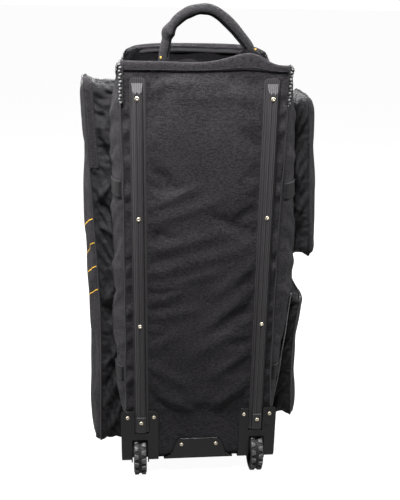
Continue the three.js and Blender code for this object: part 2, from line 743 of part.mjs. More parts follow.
function rail(side) {
  const bar = toSolid(
    new THREE.ExtrudeGeometry(railProfile(side), {
      depth: rail_top - rail_low,
      bevelEnabled: false,
    }).translate(0, 0, rail_low),
  );
  const mid = side * rail_x;
  const half = FLANGE_WIDTH / 2;
  const outline = plateXZ(
    roundedRectangle(mid - half, mid + half, rail_low - 30, rail_top, 9),
    -60,
    10,
  );
  const flange_face = -GAP - FLANGE_THICKNESS;
  const ramp = new THREE.Shape();
  ramp.moveTo(flange_face, scoop_high);
  ramp.lineTo(ridge_top_y - 1, scoop_high - SCOOP_LENGTH);
  ramp.lineTo(-60, scoop_high - SCOOP_LENGTH);
  ramp.lineTo(-60, rail_top + 20);
  ramp.lineTo(flange_face, rail_top + 20);
  ramp.closePath();
  const above = plateYZ(ramp, mid - FLANGE_WIDTH, mid + FLANGE_WIDTH);
  const below = box([mid - half - 1, -60, 0], [mid + half + 1, flange_face, block_high + GAP]);
  const recesses = railRivets()
    .slice(0, -1)
    .map((z) =>
      studHole(RIVET_RECESS, 60, side * (rail_x + RIDGE_OFFSET), ridge_top_y + RIB_HEIGHT - 60, z),
    );
  return bar.intersect(outline).subtract(above).subtract(below).subtract(union(recesses));
}

const railRivets = () =>
  Array.from({ length: RAIL_RIVETS }, (_, i) => rivet_top - i * rivet_pitch);

function railBlock(side) {
  const mid = side * (rail_x + RIDGE_OFFSET);
  const back = -2 * GAP - FLANGE_THICKNESS;
  const outline = roundedRectangle(
    mid - BLOCK_WIDTH / 2,
    mid + BLOCK_WIDTH / 2,
    block_low,
    block_high,
    2.5,
  );
  return plateXZ(outline, back - BLOCK_DEPTH, back);
}

// The corner of sheet plastic that wraps the bag's bottom back edge.
function cornerSheet(x0, x1, top, wrap) {
  const inner = EDGE_RADIUS * 0.7;
  const outer = inner + HOUSING_WALL;
  const face = -GAP;
  const under = body_bottom - GAP;
  const shape = new THREE.Shape();
  shape.moveTo(face, top);
  shape.lineTo(face - HOUSING_WALL, top);
  shape.lineTo(face - HOUSING_WALL, under + inner);
  shape.absarc(face + inner, under + inner, outer, Math.PI, 1.5 * Math.PI, false);
  shape.lineTo(wrap, under - HOUSING_WALL);
  shape.lineTo(wrap, under);
  shape.lineTo(face + inner, under);
  shape.absarc(face + inner, under + inner, inner, 1.5 * Math.PI, Math.PI, true);
  shape.closePath();
  return plateYZ(shape, x0, x1);
}

const sheet_face = -GAP - HOUSING_WALL;
const housing_low = body_bottom - GAP - HOUSING_WALL;
const housing_top = housing_low + HOUSING_HEIGHT + HOUSING_WALL;

function wheelHousing(side) {
  const x0 = wheel_x - HOUSING_WIDTH / 2;
  const x1 = wheel_x + HOUSING_WIDTH / 2;
  const low = side > 0 ? x0 : -x1;
  const high = side > 0 ? x1 : -x0;
  const sheet = cornerSheet(low, high, housing_top, WELL_DEPTH);
  const outline = plateXZ(
    roundedRectangle(low, high, housing_low - 20, housing_top, HOUSING_CORNER),
    -60,
    WELL_DEPTH + 1,
  );
  const mid = side * wheel_x;
  const well = wheelWell(side, 0).intersect(
    box([-400, -GAP - 1, housing_low], [400, WELL_DEPTH, well_top]),
  );
  const half = WHEEL_WIDTH / 2 + WHEEL_PLAY;
  const cavity = box(
    [mid - half, -60, 0],
    [mid + half, WELL_DEPTH - HOUSING_WALL + 1, well_top - HOUSING_WALL + 1],
  );
  const crossbar = box([mid - half - 1, sheet_face, CROSSBAR_LOW], [mid + half + 1, -GAP, CROSSBAR_HIGH]);
  const slot = box(
    [side * rail_x - FLANGE_WIDTH / 2 - 1, -60, CROSSBAR_HIGH],
    [side * rail_x + FLANGE_WIDTH / 2 + 1, 10, housing_top + 10],
  );
  const flank_outer = side * x1;
  const flank_inner = side * (x1 - HOUSING_WALL + 1);
  const flank = plateYZ(
    roundedRectangle(-GAP - 2, HOUSING_WRAP, housing_low + 6, housing_top - 18, 7),
    Math.min(flank_outer, flank_inner),
    Math.max(flank_outer, flank_inner),
  ).subtract(bodyForm(GAP));
  const bores = rod(AXLE_RADIUS + AXLE_PLAY * 1.4, 2 * well_half + 4, mid, WHEEL_Y, WHEEL_RADIUS, 12);
  return union([sheet.intersect(outline), well, flank])
    .subtract(cavity)
    .add(crossbar)
    .subtract(slot)
    .subtract(bores);
}

// A tyre with lugs across its tread.
function tyre(side) {
  const half = WHEEL_WIDTH / 2;
  const inside = WHEEL_RADIUS - TYRE_THICKNESS;
  const profile = [
    { x: -half + 2, r: inside },
    { x: -half, r: WHEEL_RADIUS - 10 },
    { x: -half + 1.5, r: WHEEL_RADIUS - 4.5, lug: 0.7 },
    { x: -half * 0.4, r: WHEEL_RADIUS, lug: 1 },
    { x: half * 0.4, r: WHEEL_RADIUS, lug: 1 },
    { x: half - 1.5, r: WHEEL_RADIUS - 4.5, lug: 0.7 },
    { x: half, r: WHEEL_RADIUS - 10 },
    { x: half - 2, r: inside },
  ];
  const count = TREAD_LUGS * 2;
  const rings = Array.from({ length: count }, (_, i) => {
    const angle = (2 * Math.PI * i) / count - Math.PI / 2;
    return profile.map((p) => {
      const r = p.r - (i % 2 ? (p.lug ?? 0) * TREAD_DEPTH : 0);
      return new THREE.Vector3(
        side * wheel_x + p.x,
        WHEEL_Y + r * Math.cos(angle),
        WHEEL_RADIUS + r * Math.sin(angle),
      );
    });
  });
  return skin(rings, { loop: true, flip: true });
}

function hub(side) {
  const rim = WHEEL_RADIUS - TYRE_THICKNESS - GAP;
  const bore = AXLE_RADIUS + AXLE_PLAY;
  const boss = bore + 5;
  const half = WHEEL_WIDTH / 2;
  const web = 3.5;
  const profile = [
    [bore, -half + 1], [boss, -half + 1], [boss + 1, -web], [rim - 5, -web],
    [rim - 4, -half + 4], [rim, -half + 4], [rim, half - 4], [rim - 4, half - 4],
    [rim - 5, web], [boss + 1, web], [boss, half - 1], [bore, half - 1], [bore, -half + 1],
  ].map(([r, x]) => new THREE.Vector2(r, x));
  return new THREE.LatheGeometry(profile, 12)
    .rotateZ(-Math.PI / 2)
    .translate(side * wheel_x, WHEEL_Y, WHEEL_RADIUS);
}

function axle(side) {
  const length = 2 * well_half;
  return rod(AXLE_RADIUS, length, side * wheel_x, WHEEL_Y, WHEEL_RADIUS, 10);
}

const kick_top = housing_low + KICK_HEIGHT;

function kickPlate() {
  const sheet = cornerSheet(-KICK_BOTTOM_WIDTH / 2, KICK_BOTTOM_WIDTH / 2, kick_top, KICK_WRAP);
  const top = KICK_TOP_WIDTH / 2;
  const bottom = KICK_BOTTOM_WIDTH / 2;
  const shoulder = 9;
  const flare = kick_top - KICK_HEIGHT * 0.82;
  const shape = new THREE.Shape();
  shape.moveTo(-bottom, -10);
  shape.lineTo(bottom, -10);
  shape.lineTo(bottom, flare);
  shape.quadraticCurveTo(top + shoulder * 1.8, flare, top + shoulder, kick_top - shoulder * 1.6);
  shape.quadraticCurveTo(top + shoulder * 0.6, kick_top, top - shoulder * 0.4, kick_top);
  shape.lineTo(-top + shoulder * 0.4, kick_top);
  shape.quadraticCurveTo(-top - shoulder * 0.6, kick_top, -top - shoulder, kick_top - shoulder * 1.6);
  shape.quadraticCurveTo(-top - shoulder * 1.8, flare, -bottom, flare);
  shape.closePath();
  return sheet.intersect(plateXZ(shape, -60, KICK_WRAP + 10));
}

function foot(side) {
  const height = body_bottom - GAP;
  const middle_y = BODY_DEPTH - FOOT_INSET - FOOT_DEPTH / 2;
  const corners = (share, z) =>
    [[1, 1], [-1, 1], [-1, -1], [1, -1]].map(
      ([a, b]) =>
        new THREE.Vector3(
          side * foot_x + (a * share * FOOT_WIDTH) / 2,
          middle_y + (b * share * FOOT_DEPTH) / 2,
          z,
        ),
    );
  const rings = [
    corners(FOOT_FLARE - 0.1, 0),
    corners(FOOT_FLARE, 3),
    corners(1, height - 5),
    corners(1, height),
  ];
  return skin(rings, {
    first: new THREE.Vector3(side * foot_x, middle_y, 0),
    last: new THREE.Vector3(side * foot_x, middle_y, height),
  });
}

function rivet(x, y, z) {
  const profile = [
    [0, 0], [RIVET_RADIUS, 0], [RIVET_RADIUS * 0.72, RIVET_DOME], [0, RIVET_DOME],
  ].map(([r, h]) => new THREE.Vector2(r, h));
  return new THREE.LatheGeometry(profile, 7).rotateX(Math.PI).translate(x, y, z);
}

// The haul handle's middle line: shares of its span and rise, as it stands in the photo.
const ARCH = [
  { across: -0.5, up: 0 }, { across: -0.475, up: 0.26 }, { across: -0.445, up: 0.51 },
  { across: -0.37, up: 0.71 }, { across: -0.25, up: 0.89 }, { across: -0.09, up: 0.99 },
  { across: 0.03, up: 0.98 }, { across: 0.16, up: 0.86 }, { across: 0.285, up: 0.66 },
  { across: 0.38, up: 0.47 }, { across: 0.5, up: 0.17 },
];
const handle_middle = 8;
const handle_low = body_top + 6;

function archPoint({ across, up }) {
  return new THREE.Vector3(
    handle_middle + across * HANDLE_SPAN,
    HANDLE_Y,
    handle_low + up * HANDLE_RISE,
  );
}

// The patch of webbing that a foot of the handle stands on.
function handleTab(end) {
  const at = archPoint(end);
  const patch = box(
    [at.x - TAB_WIDTH / 2, at.y - TAB_LENGTH / 2, body_top - END_DISH * 2],
    [at.x + TAB_WIDTH / 2, at.y + TAB_LENGTH / 2, body_top + HANDLE_RISE * 2],
  );
  return bodyForm(GAP + WEBBING_THICKNESS).subtract(bodyForm(GAP)).intersect(patch);
}

function handleGrip() {
  const middle_line = ARCH.map(archPoint);
  const low = new THREE.Vector3(0, 0, -2 * HANDLE_RADIUS);
  const path = [
    middle_line[0].clone().add(low),
    ...middle_line,
    middle_line[middle_line.length - 1].clone().add(low),
  ];
  const parts = toSolid(cord(path, HANDLE_RADIUS, 8))
    .subtract(bodyForm(2 * GAP + WEBBING_THICKNESS))
    .decompose();
  return parts.reduce((a, b) => (b.volume() > a.volume() ? b : a));
}

// The bat pocket's zip across the pocket's top and the flap that covers it below.
const POCKET_ZIP_Y = POCKET_Y + 34;
const FLAP_LENGTH = 175;
const FLAP_WIDTH = 18;
const FLAP_THICKNESS = 2;

function pocketZip(pocket) {
  const z = pocket.high + ZIP_RADIUS * 0.8 + GAP;
  const reach = pocketReach(pocket, pocket.high);
  const from = new THREE.Vector3(pocket.side * (reach - 6), POCKET_ZIP_Y, z);
  const to = new THREE.Vector3(pocket.side * (half_width - 10), POCKET_ZIP_Y, z - 3);
  const chain = toSolid(cord([from, from.clone().lerp(to, 0.5), to], ZIP_RADIUS * 0.8, 6));
  return chain.subtract(bodyForm(GAP));
}

function pocketFlap(pocket) {
  const root = half_width - CLOTH_WALL;
  const crease = GUSSET_STATIONS[1];
  const top = pocket.high - pocket.corner * 0.8;
  const rings = [top - FLAP_LENGTH, top].map((z) => {
    const reach = pocketReach(pocket, z);
    const x1 = reach - POCKET_PIPING - GAP;
    const corners = [x1 - FLAP_WIDTH, x1].map((x) => {
      const out = (x - root) / (reach - root);
      const y = POCKET_Y - GAP + (POCKET_CREASE * (1 - out)) / (1 - crease.out);
      return new THREE.Vector3(pocket.side * x, y, z);
    });
    const outer = corners.map((c) => c.clone().setY(c.y - FLAP_THICKNESS));
    return [corners[0], corners[1], outer[1], outer[0]];
  });
  const middle = (ring) => ring[0].clone().add(ring[2]).divideScalar(2);
  return skin(rings, { first: middle(rings[0]), last: middle(rings[1]), flip: pocket.side > 0 });
}

function slider() {
  const y = BODY_DEPTH + LID_PUFF * SECTIONS[0].lid;
  const outline = roundedRectangle(-SLIDER_HALF + 1, SLIDER_HALF - 1, zip_low - 7, zip_low + 7, 4);
  return plateXZ(outline, y + 2 * GAP, y + 6);
}

// The bag.
const bag = new THREE.Group();
const backPiping = (side, low) =>
  cord(backSeam(side, low, zip_end - 3).map((s) => s.at), PIPING_RADIUS, 5);
const left_right = [
  { side: -1, word: "left" },
  { side: 1, word: "right" },
];

function add(name, shape, material) {
  const geometry = shape.isBufferGeometry ? shape : toGeometry(shape);
  const mesh = new THREE.Mesh(geometry, material);
  mesh.name = name;
  bag.add(mesh);
  return mesh;
}

for (const [name, solid] of Object.entries(bodyPanels())) add(name, solid, BLACK_CLOTH);

for (const { side, word } of left_right) {
  const piping_low = housing_top + 2;
  add("piping_" + word, backPiping(side, piping_low), BLACK_PIPING);
  add("zip_" + word, cord(zipPath(side, SLIDER_HALF), ZIP_RADIUS, 5), BLACK_ZIP);
  add("rail_" + word, rail(side), RAIL_PLASTIC);
  add("rail_block_" + word, railBlock(side), HOUSING_PLASTIC);
  add("wheel_housing_" + word, wheelHousing(side), HOUSING_PLASTIC);
  add("tyre_" + word, tyre(side), TYRE_RUBBER);
  add("hub_" + word, hub(side), HUB_PLASTIC);
  add("axle_" + word, axle(side), STEEL);
  add("foot_" + word, foot(side), HOUSING_PLASTIC);

  const ridge_x = side * (rail_x + RIDGE_OFFSET);
  railRivets().forEach((z, i) => {
    const lowest = i === RAIL_RIVETS - 1;
    const seat = lowest ? -2 * GAP - FLANGE_THICKNESS - BLOCK_DEPTH : ridge_top_y + RIB_HEIGHT;
    const height = lowest ? (block_low + block_high) / 2 + 7 : z;
    add(`rail_rivet_${word}_${i + 1}`, rivet(ridge_x, seat - GAP, height), STEEL);
  });
  const tab_edge = FLANGE_WIDTH / 2 + 1;
  const outer = (wheel_x + HOUSING_WIDTH / 2 + rail_x + tab_edge) / 2;
  const inner = (wheel_x - HOUSING_WIDTH / 2 + rail_x - tab_edge) / 2;
  const tab_z = housing_top - 17;
  add("housing_rivet_" + word + "_outer", rivet(side * outer, sheet_face - GAP, tab_z), STEEL);
  add("housing_rivet_" + word + "_inner", rivet(side * inner, sheet_face - GAP, tab_z), STEEL);
  add("kick_rivet_" + word, rivet(side * KICK_TOP_WIDTH * 0.44, sheet_face - GAP, kick_top - 16), STEEL);

  const bands = WEBBING_ROWS.map((row) => {
    add(`webbing_${row.name}_${word}`, webbing(row, side, 0), BLACK_WEBBING);
    return webbing(row, side, GAP);
  });
  for (const pocket of pockets.filter((p) => p.side === side)) {
    add(pocket.name + "_gusset", pocketGusset(pocket, union(bands)), BLACK_GUSSET);
    add(pocket.name + "_face", pocketFace(pocket), BLACK_CLOTH);
    add(pocket.name + "_piping", pocketPiping(pocket), BLACK_PIPING);
  }
}

add("kick_plate", kickPlate(), HOUSING_PLASTIC);
add("zip_slider", slider(), BLACK_ZIP);
add("left_pocket_zip", pocketZip(pockets[0]), BLACK_ZIP);
add("left_pocket_flap", pocketFlap(pockets[0]), BLACK_WEBBING);
add("handle_grip", handleGrip(), BLACK_CLOTH);
add("handle_tab_left", handleTab(ARCH[0]), BLACK_WEBBING);
add("handle_tab_right", handleTab(ARCH[ARCH.length - 1]), BLACK_WEBBING);

const bounds = new THREE.Box3().setFromObject(bag);
bag.position.x -= (bounds.min.x + bounds.max.x) / 2;
bag.position.y -= (bounds.min.y + bounds.max.y) / 2;

export default bag;
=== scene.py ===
"""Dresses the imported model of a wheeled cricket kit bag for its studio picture."""

import logging
import math
from collections.abc import Callable, Sequence
from dataclasses import dataclass, field
from enum import Enum

import bmesh
import bpy
import numpy as np
from mathutils import Matrix, Vector


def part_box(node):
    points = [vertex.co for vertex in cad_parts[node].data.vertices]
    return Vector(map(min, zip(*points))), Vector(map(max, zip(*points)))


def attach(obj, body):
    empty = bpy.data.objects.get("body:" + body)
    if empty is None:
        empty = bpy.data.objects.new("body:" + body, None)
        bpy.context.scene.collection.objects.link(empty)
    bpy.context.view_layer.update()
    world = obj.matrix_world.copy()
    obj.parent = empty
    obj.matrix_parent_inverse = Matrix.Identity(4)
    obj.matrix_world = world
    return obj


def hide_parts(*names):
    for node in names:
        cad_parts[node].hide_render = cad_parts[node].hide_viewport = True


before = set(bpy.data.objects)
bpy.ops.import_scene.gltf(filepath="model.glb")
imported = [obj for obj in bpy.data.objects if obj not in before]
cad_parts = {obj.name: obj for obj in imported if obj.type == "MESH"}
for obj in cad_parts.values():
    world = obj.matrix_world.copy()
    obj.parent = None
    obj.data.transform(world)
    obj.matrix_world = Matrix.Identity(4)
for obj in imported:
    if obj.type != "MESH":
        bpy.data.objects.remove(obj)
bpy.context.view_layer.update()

LOG = logging.getLogger("kit_bag")
BODY = "bag"
SEED = 11
WAVE_SCALE = 20.0  # what the Wave texture multiplies its place by
WELD = 0.00001  # vertices closer than this are one

Array = np.ndarray
Colour = tuple[float, float, float]
Place = Callable[[Array, Array], Array]
Hold = Callable[[Array], Array]


class Side(Enum):
    """A side of the bag, seen from its wheel side."""

    LEFT = -1
    RIGHT = 1

    @property
    def word(self) -> str:
        """The side's name as the nodes have it."""
        return self.name.lower()


# Shader building


class Wire:
    """A shader output whose arithmetic adds Math nodes."""

    def __init__(self, shader: "Shader", socket: bpy.types.NodeSocket) -> None:
        """Wraps one output of a shader's node."""
        self.shader = shader
        self.socket = socket

    def math(self, operation: str, *others: "Wire | float") -> "Wire":
        """Adds a Math node.

        Args:
            operation: The node's operation.
            others: Its second and third values.

        Returns:
            The node's output.
        """
        inputs = dict(enumerate((self, *others)))
        node = self.shader.node("ShaderNodeMath", {"operation": operation}, inputs)
        return self.shader.wire(node)

    def __add__(self, other: "Wire | float") -> "Wire":
        """Adds two values."""
        return self.math("ADD", other)

    __radd__ = __add__

    def __sub__(self, other: "Wire | float") -> "Wire":
        """Takes a value away."""
        return self.math("SUBTRACT", other)

    def __rsub__(self, other: float) -> "Wire":
        """Takes this from a number."""
        return self.math("MULTIPLY_ADD", -1.0, other)

    def __mul__(self, other: "Wire | float") -> "Wire":
        """Multiplies two values."""
        return self.math("MULTIPLY", other)

    __rmul__ = __mul__

    def __truediv__(self, other: "Wire | float") -> "Wire":
        """Divides by a value."""
        return self.math("DIVIDE", other)

    def clamped(self, low: float, high: float) -> "Wire":
        """Maps low to high onto 0 to 1, and holds it there."""
        ranged = {"From Min": low, "From Max": high, "Value": self}
        node = self.shader.node("ShaderNodeMapRange", {"clamp": True}, ranged)
        return self.shader.wire(node)


class Shader:
    """A material being built round one Principled BSDF."""

    def __init__(self, name: str) -> None:
        """Starts a material of that name.

        Args:
            name: The material's name.
        """
        material = bpy.data.materials.new(name)
        material.use_nodes = True
        self.tree = material.node_tree
        self.tree.nodes.clear()
        self.surface = self.tree.nodes.new("ShaderNodeBsdfPrincipled")
        output = self.tree.nodes.new("ShaderNodeOutputMaterial")
        self.tree.links.new(self.surface.outputs[0], output.inputs["Surface"])

    def node(self, kind: str, settings: dict, inputs: dict) -> bpy.types.ShaderNode:
        """Adds a node.

        Args:
            kind: The node's type.
            settings: Its properties.
            inputs: Values or wires by socket name or number.

        Returns:
            The new node.
        """
        node = self.tree.nodes.new(kind)
        for key, value in settings.items():
            setattr(node, key, value)
        for key, value in inputs.items():
            self._plug(node.inputs[key], value)
        return node

    def _plug(self, socket: bpy.types.NodeSocket, value: object) -> None:
        """Links a wire to a socket, or sets the socket's own value.

        Args:
            socket: The input.
            value: A wire, a colour, a place or a number.
        """
        if isinstance(value, Wire):
            self.tree.links.new(value.socket, socket)
        elif isinstance(value, tuple) and socket.type == "RGBA":
            socket.default_value = (*value, 1.0)
        else:
            socket.default_value = value

    def wire(self, node: bpy.types.ShaderNode, output: int | str = 0) -> Wire:
        """Wraps one output of a node."""
        return Wire(self, node.outputs[output])

    def place(self, scale: tuple = (1.0, 1.0, 1.0), turn: tuple = (0.0, 0.0, 0.0)) -> Wire:
        """Gives the surface's own place, scaled and turned."""
        coordinates = self.wire(self.node("ShaderNodeTexCoord", {}, {}), "Object")
        inputs = {"Vector": coordinates, "Scale": scale, "Rotation": turn}
        return self.wire(self.node("ShaderNodeMapping", {}, inputs))

    def noise(self, scale: float, detail: float = 2.0, place: Wire | None = None) -> Wire:
        """Adds noise from 0 to 1, about 1 over scale metres in size."""
        inputs = {"Vector": place or self.place(), "Scale": scale, "Detail": detail}
        return self.wire(self.node("ShaderNodeTexNoise", {}, inputs), "Fac")

    def bands(self, pitch: float, axis: str, place: Wire | None = None) -> Wire:
        """Adds soft bands across an axis, pitch metres apart."""
        settings = {"wave_type": "BANDS", "bands_direction": axis}
        inputs = {"Vector": place or self.place(), "Scale": math.tau / (WAVE_SCALE * pitch)}
        return self.wire(self.node("ShaderNodeTexWave", settings, inputs), "Fac")

    def cells(self, scale: float) -> Wire:
        """Adds the distance to scattered cell middles."""
        inputs = {"Vector": self.place(), "Scale": scale}
        return self.wire(self.node("ShaderNodeTexVoronoi", {}, inputs), "Distance")

    def mix(self, share: Wire | float, first: object, second: object) -> Wire:
        """Mixes two colours."""
        settings = {"data_type": "RGBA"}
        node = self.node("ShaderNodeMix", settings, {0: share, 6: first, 7: second})
        return self.wire(node, 2)

    def bump(self, height: Wire, distance: float) -> Wire:
        """Turns heights into a normal, distance metres deep."""
        inputs = {"Height": height, "Distance": distance, "Strength": 1.0}
        return self.wire(self.node("ShaderNodeBump", {}, inputs))

    def paint(self, **sockets: object) -> None:
        """Sets the surface's sockets, named with underscores for spaces."""
        for key, value in sockets.items():
            words = key.replace("_", " ")
            socket = next(s for s in self.surface.inputs if s.name.lower() == words)
            self._plug(socket, value)


def shade(colour: Colour, by: float) -> Colour:
    """Makes a colour lighter or darker by a factor."""
    return tuple(channel * by for channel in colour)


@dataclass(frozen=True)
class Finish:
    """A finish that makes its material once."""

    name: str
    colour: Colour
    roughness: float

    def material(self) -> bpy.types.Material:
        """Gives the finish's material, building it at first use."""
        if self.name not in bpy.data.materials:
            self.build(Shader(self.name))
        return bpy.data.materials[self.name]

    def build(self, shader: Shader) -> None:
        """Builds the material's nodes.

        Args:
            shader: The material's maker.
        """
        raise NotImplementedError

    def dress(self, piece: bpy.types.Object) -> None:
        """Gives a piece this finish alone."""
        piece.data.materials.clear()
        piece.data.materials.append(self.material())


@dataclass(frozen=True)
class Woven(Finish):
    """Coated polyester with a fine plain weave and a dusty speckle."""

    pitch: float = 0.0011
    speckle: float = 0.75
    sheen: float = 0.04
    gloss: float = 0.1
    relief: float = 0.0009

    def build(self, shader: Shader) -> None:
        """Builds yarns, slubs along the weft, speckle and slow wear.

        Args:
            shader: The material's maker.
        """
        weft = shader.bands(self.pitch, "Z")
        warp_place = shader.place(turn=(0.0, 0.0, math.radians(45)))
        warp = shader.bands(self.pitch * 1.4, "X", warp_place)
        yarn = weft * 0.6 + warp * 0.4
        slubs = shader.noise(1.0, 2.0, shader.place(scale=(130.0, 130.0, 430.0)))
        grain = shader.noise(420.0, 2.0)
        cloud = shader.noise(9.0, 4.0)
        tone = slubs.clamped(0.38, 0.62) * 0.5 + grain.clamped(0.38, 0.62) * 0.5
        tone = tone * self.speckle + yarn * (1.0 - self.speckle)
        tone = tone * 0.85 + cloud.clamped(0.3, 0.7) * 0.15
        colour = shader.mix(tone, shade(self.colour, 0.08), shade(self.colour, 2.7))
        height = yarn * 0.4 + slubs * 0.5 + grain * 0.6
        shader.paint(
            base_color=colour,
            roughness=self.roughness - 0.12 * cloud,
            normal=shader.bump(height, self.relief),
            sheen_weight=self.sheen,
            sheen_roughness=0.4,
            specular_ior_level=self.gloss,
        )


@dataclass(frozen=True)
class Striped(Woven):
    """The shell's cloth with a sloping row of thin printed stripes."""

    stripe: Colour = (0.78, 0.45, 0.05)
    stripe_pitch: float = 0.0567
    stripe_share: float = 0.046
    stripe_low: float = 0.3865
    stripe_high: float = 0.5965
    stripe_shift: float = 0.0189

    def build(self, shader: Shader) -> None:
        """Builds the cloth and lays the print over its colour.

        Args:
            shader: The material's maker.
        """
        super().build(shader)
        split = shader.node("ShaderNodeSeparateXYZ", {}, {0: shader.place()})
        y, z = shader.wire(split, "Y"), shader.wire(split, "Z")
        run = (z + y * 0.9 + self.stripe_shift) / self.stripe_pitch
        near = (run.math("FRACT") - 0.5).math("ABSOLUTE")
        line = 1 - near.clamped(self.stripe_share * 0.4, self.stripe_share * 0.6)
        start = z + y * 0.9
        field_share = start.clamped(self.stripe_low, self.stripe_low + 0.001)
        field_share = field_share * (1 - start.clamped(self.stripe_high, self.stripe_high + 0.001))
        cloth = shader.surface.inputs["Base Color"].links[0].from_socket
        print_share = line * field_share * (0.75 + 0.25 * shader.noise(600.0))
        colour = shader.mix(print_share, Wire(shader, cloth), self.stripe)
        shader.paint(base_color=colour)


@dataclass(frozen=True)
class Ribbed(Finish):
    """Webbing, woven in ribs across its length."""

    pitch: float = 0.0024
    axis: str = "Z"

    def build(self, shader: Shader) -> None:
        """Builds the ribs, the twill between them and a light fuzz.

        Args:
            shader: The material's maker.
        """
        rib = shader.bands(self.pitch, self.axis)
        twill = shader.bands(self.pitch * 0.6, "DIAGONAL")
        fuzz = shader.noise(700.0, 3.0)
        tone = rib * 0.5 + twill * 0.25 + fuzz * 0.25
        colour = shader.mix(tone, shade(self.colour, 0.5), shade(self.colour, 1.5))
        shader.paint(
            base_color=colour,
            roughness=self.roughness,
            normal=shader.bump(rib * 0.7 + fuzz * 0.3, 0.0004),
            sheen_weight=0.04,
            specular_ior_level=0.2,
        )


@dataclass(frozen=True)
class Moulded(Finish):
    """Injection-moulded plastic: finely grained, smoother where rubbed."""

    grain: float = 0.00012
    gloss: float = 0.3

    def build(self, shader: Shader) -> None:
        """Builds the grain, slow gloss changes and faint scuffs.

        Args:
            shader: The material's maker.
        """
        pebble = shader.cells(900.0)
        haze = shader.noise(28.0, 4.0)
        scuff = shader.noise(1.0, 5.0, shader.place(scale=(600.0, 300.0, 40.0)))
        mark = scuff.clamped(0.62, 0.74)
        colour = shader.mix(mark * 0.35, self.colour, shade(self.colour, 2.2))
        shader.paint(
            base_color=colour,
            roughness=self.roughness + 0.12 * haze - 0.06 * mark,
            normal=shader.bump(pebble, self.grain),
            specular_ior_level=self.gloss,
        )


@dataclass(frozen=True)
class Ridged(Moulded):
    """Moulded plastic with fine ribs down its length, painted with shade in their grooves and
    highlight on their crests.
    """

    pitch: float = 0.0042

    def build(self, shader: Shader) -> None:
        """Builds the ribs over the grain, with painted highlight along their crests, painted shade in
        their grooves, and random scuffs.

        Args:
            shader: The material's maker.
        """
        rib = shader.bands(self.pitch, "X")
        pebble = shader.cells(900.0)
        scuff = shader.noise(1.0, 5.0, shader.place(scale=(600.0, 300.0, 40.0)))
        # The rib bands paint the grooves darker as shade and the crests lighter as highlight; the
        # scuffs are wear.
        tone = rib * 0.8 + scuff.clamped(0.45, 0.7) * 0.2
        shader.paint(
            base_color=shader.mix(tone, shade(self.colour, 0.6), shade(self.colour, 1.5)),
            roughness=self.roughness + 0.1 * scuff,
            normal=shader.bump(rib * 0.9 + pebble * 0.1, 0.0004),
            specular_ior_level=self.gloss,
        )


@dataclass(frozen=True)
class Rubber(Finish):
    """Tyre rubber, dusty in its hollows and greyer where it has rolled."""

    def build(self, shader: Shader) -> None:
        """Builds dust, fine pores and worn patches.

        Args:
            shader: The material's maker.
        """
        dust = shader.noise(160.0, 5.0)
        pores = shader.cells(1400.0)
        tone = dust.clamped(0.35, 0.7)
        colour = shader.mix(tone, self.colour, shade(self.colour, 2.1))
        shader.paint(
            base_color=colour,
            roughness=self.roughness + 0.15 * tone,
            normal=shader.bump(pores * 0.4 + dust * 0.6, 0.00025),
        )


@dataclass(frozen=True)
class Plated(Finish):
    """Nickel-plated steel with a fine brushed haze."""

    def build(self, shader: Shader) -> None:
        """Builds the haze and a faint warm stain.

        Args:
            shader: The material's maker.
        """
        haze = shader.noise(900.0, 4.0)
        stain = shader.noise(260.0, 2.0).clamped(0.45, 0.75)
        warm = (self.colour[0], self.colour[1] * 0.9, self.colour[2] * 0.68)
        shader.paint(
            base_color=shader.mix(stain, self.colour, warm),
            metallic=0.85,
            roughness=self.roughness + 0.14 * haze,
            normal=shader.bump(haze, 0.00005),
        )


@dataclass(frozen=True)
class Thread(Finish):
    """Sewing thread, twisted from plies."""

    def build(self, shader: Shader) -> None:
        """Builds the twist of the plies.

        Args:
            shader: The material's maker.
        """
        ply = shader.bands(0.0009, "DIAGONAL")
        colour = shader.mix(ply, shade(self.colour, 0.6), shade(self.colour, 1.25))
        normal = shader.bump(ply, 0.0002)
        shader.paint(base_color=colour, roughness=self.roughness, normal=normal)


@dataclass(frozen=True)
class Paper(Finish):
    """The studio's pale floor, which glows evenly to hide the room's edge."""

    def build(self, shader: Shader) -> None:
        """Builds a nearly even pale sheet.

        Args:
            shader: The material's maker.
        """
        cloud = shader.noise(3.0, 2.0)
        colour = shader.mix(cloud, shade(self.colour, 0.985), self.colour)
        seen = shader.wire(shader.node("ShaderNodeLightPath", {}, {}), "Is Camera Ray")
        shader.paint(
            base_color=colour,
            roughness=self.roughness,
            emission_color=(1.0, 1.0, 1.0),
            emission_strength=seen * 0.96,
            specular_ior_level=0.0,
        )


SHELL_CLOTH = Woven("shell cloth", (0.0185, 0.0172, 0.0190), 0.84)
STRIPED_CLOTH = Striped("striped cloth", (0.0185, 0.0172, 0.0190), 0.84)
GUSSET_CLOTH = Woven("gusset cloth", (0.0105, 0.0098, 0.0110), 0.6, pitch=0.0009, gloss=0.16)
LINING_CLOTH = Woven("inner cloth", (0.0028, 0.0026, 0.0029), 0.85, sheen=0.01, gloss=0.03)
GRIP_CLOTH = Woven("grip cloth", (0.017, 0.0162, 0.0178), 0.78, sheen=0.1)
BAND_WEBBING = Ribbed("band webbing", (0.012, 0.0114, 0.0124), 0.68, axis="Y")
EDGE_BINDING = Moulded("edge binding", (0.03, 0.0292, 0.0308), 0.34, grain=0.00003, gloss=0.5)
PALE_BINDING = Moulded("pale binding", (0.2, 0.196, 0.2), 0.34, grain=0.00003, gloss=0.5)
ZIP_TAPE = Ribbed("zip tape", (0.012, 0.0115, 0.0122), 0.75, pitch=0.0016)
ZIP_TEETH = Moulded("zip teeth", (0.085, 0.085, 0.088), 0.28, grain=0.00004, gloss=0.5)
# The rails' ribs are painted darker in the grooves as shade and lighter on the crests as highlight.
RAIL_PLASTIC = Ridged("rail plastic", (0.040, 0.038, 0.040), 0.44, gloss=0.25)
HOUSING_PLASTIC = Moulded("housing plastic", (0.0042, 0.0040, 0.0045), 0.25, gloss=0.5)
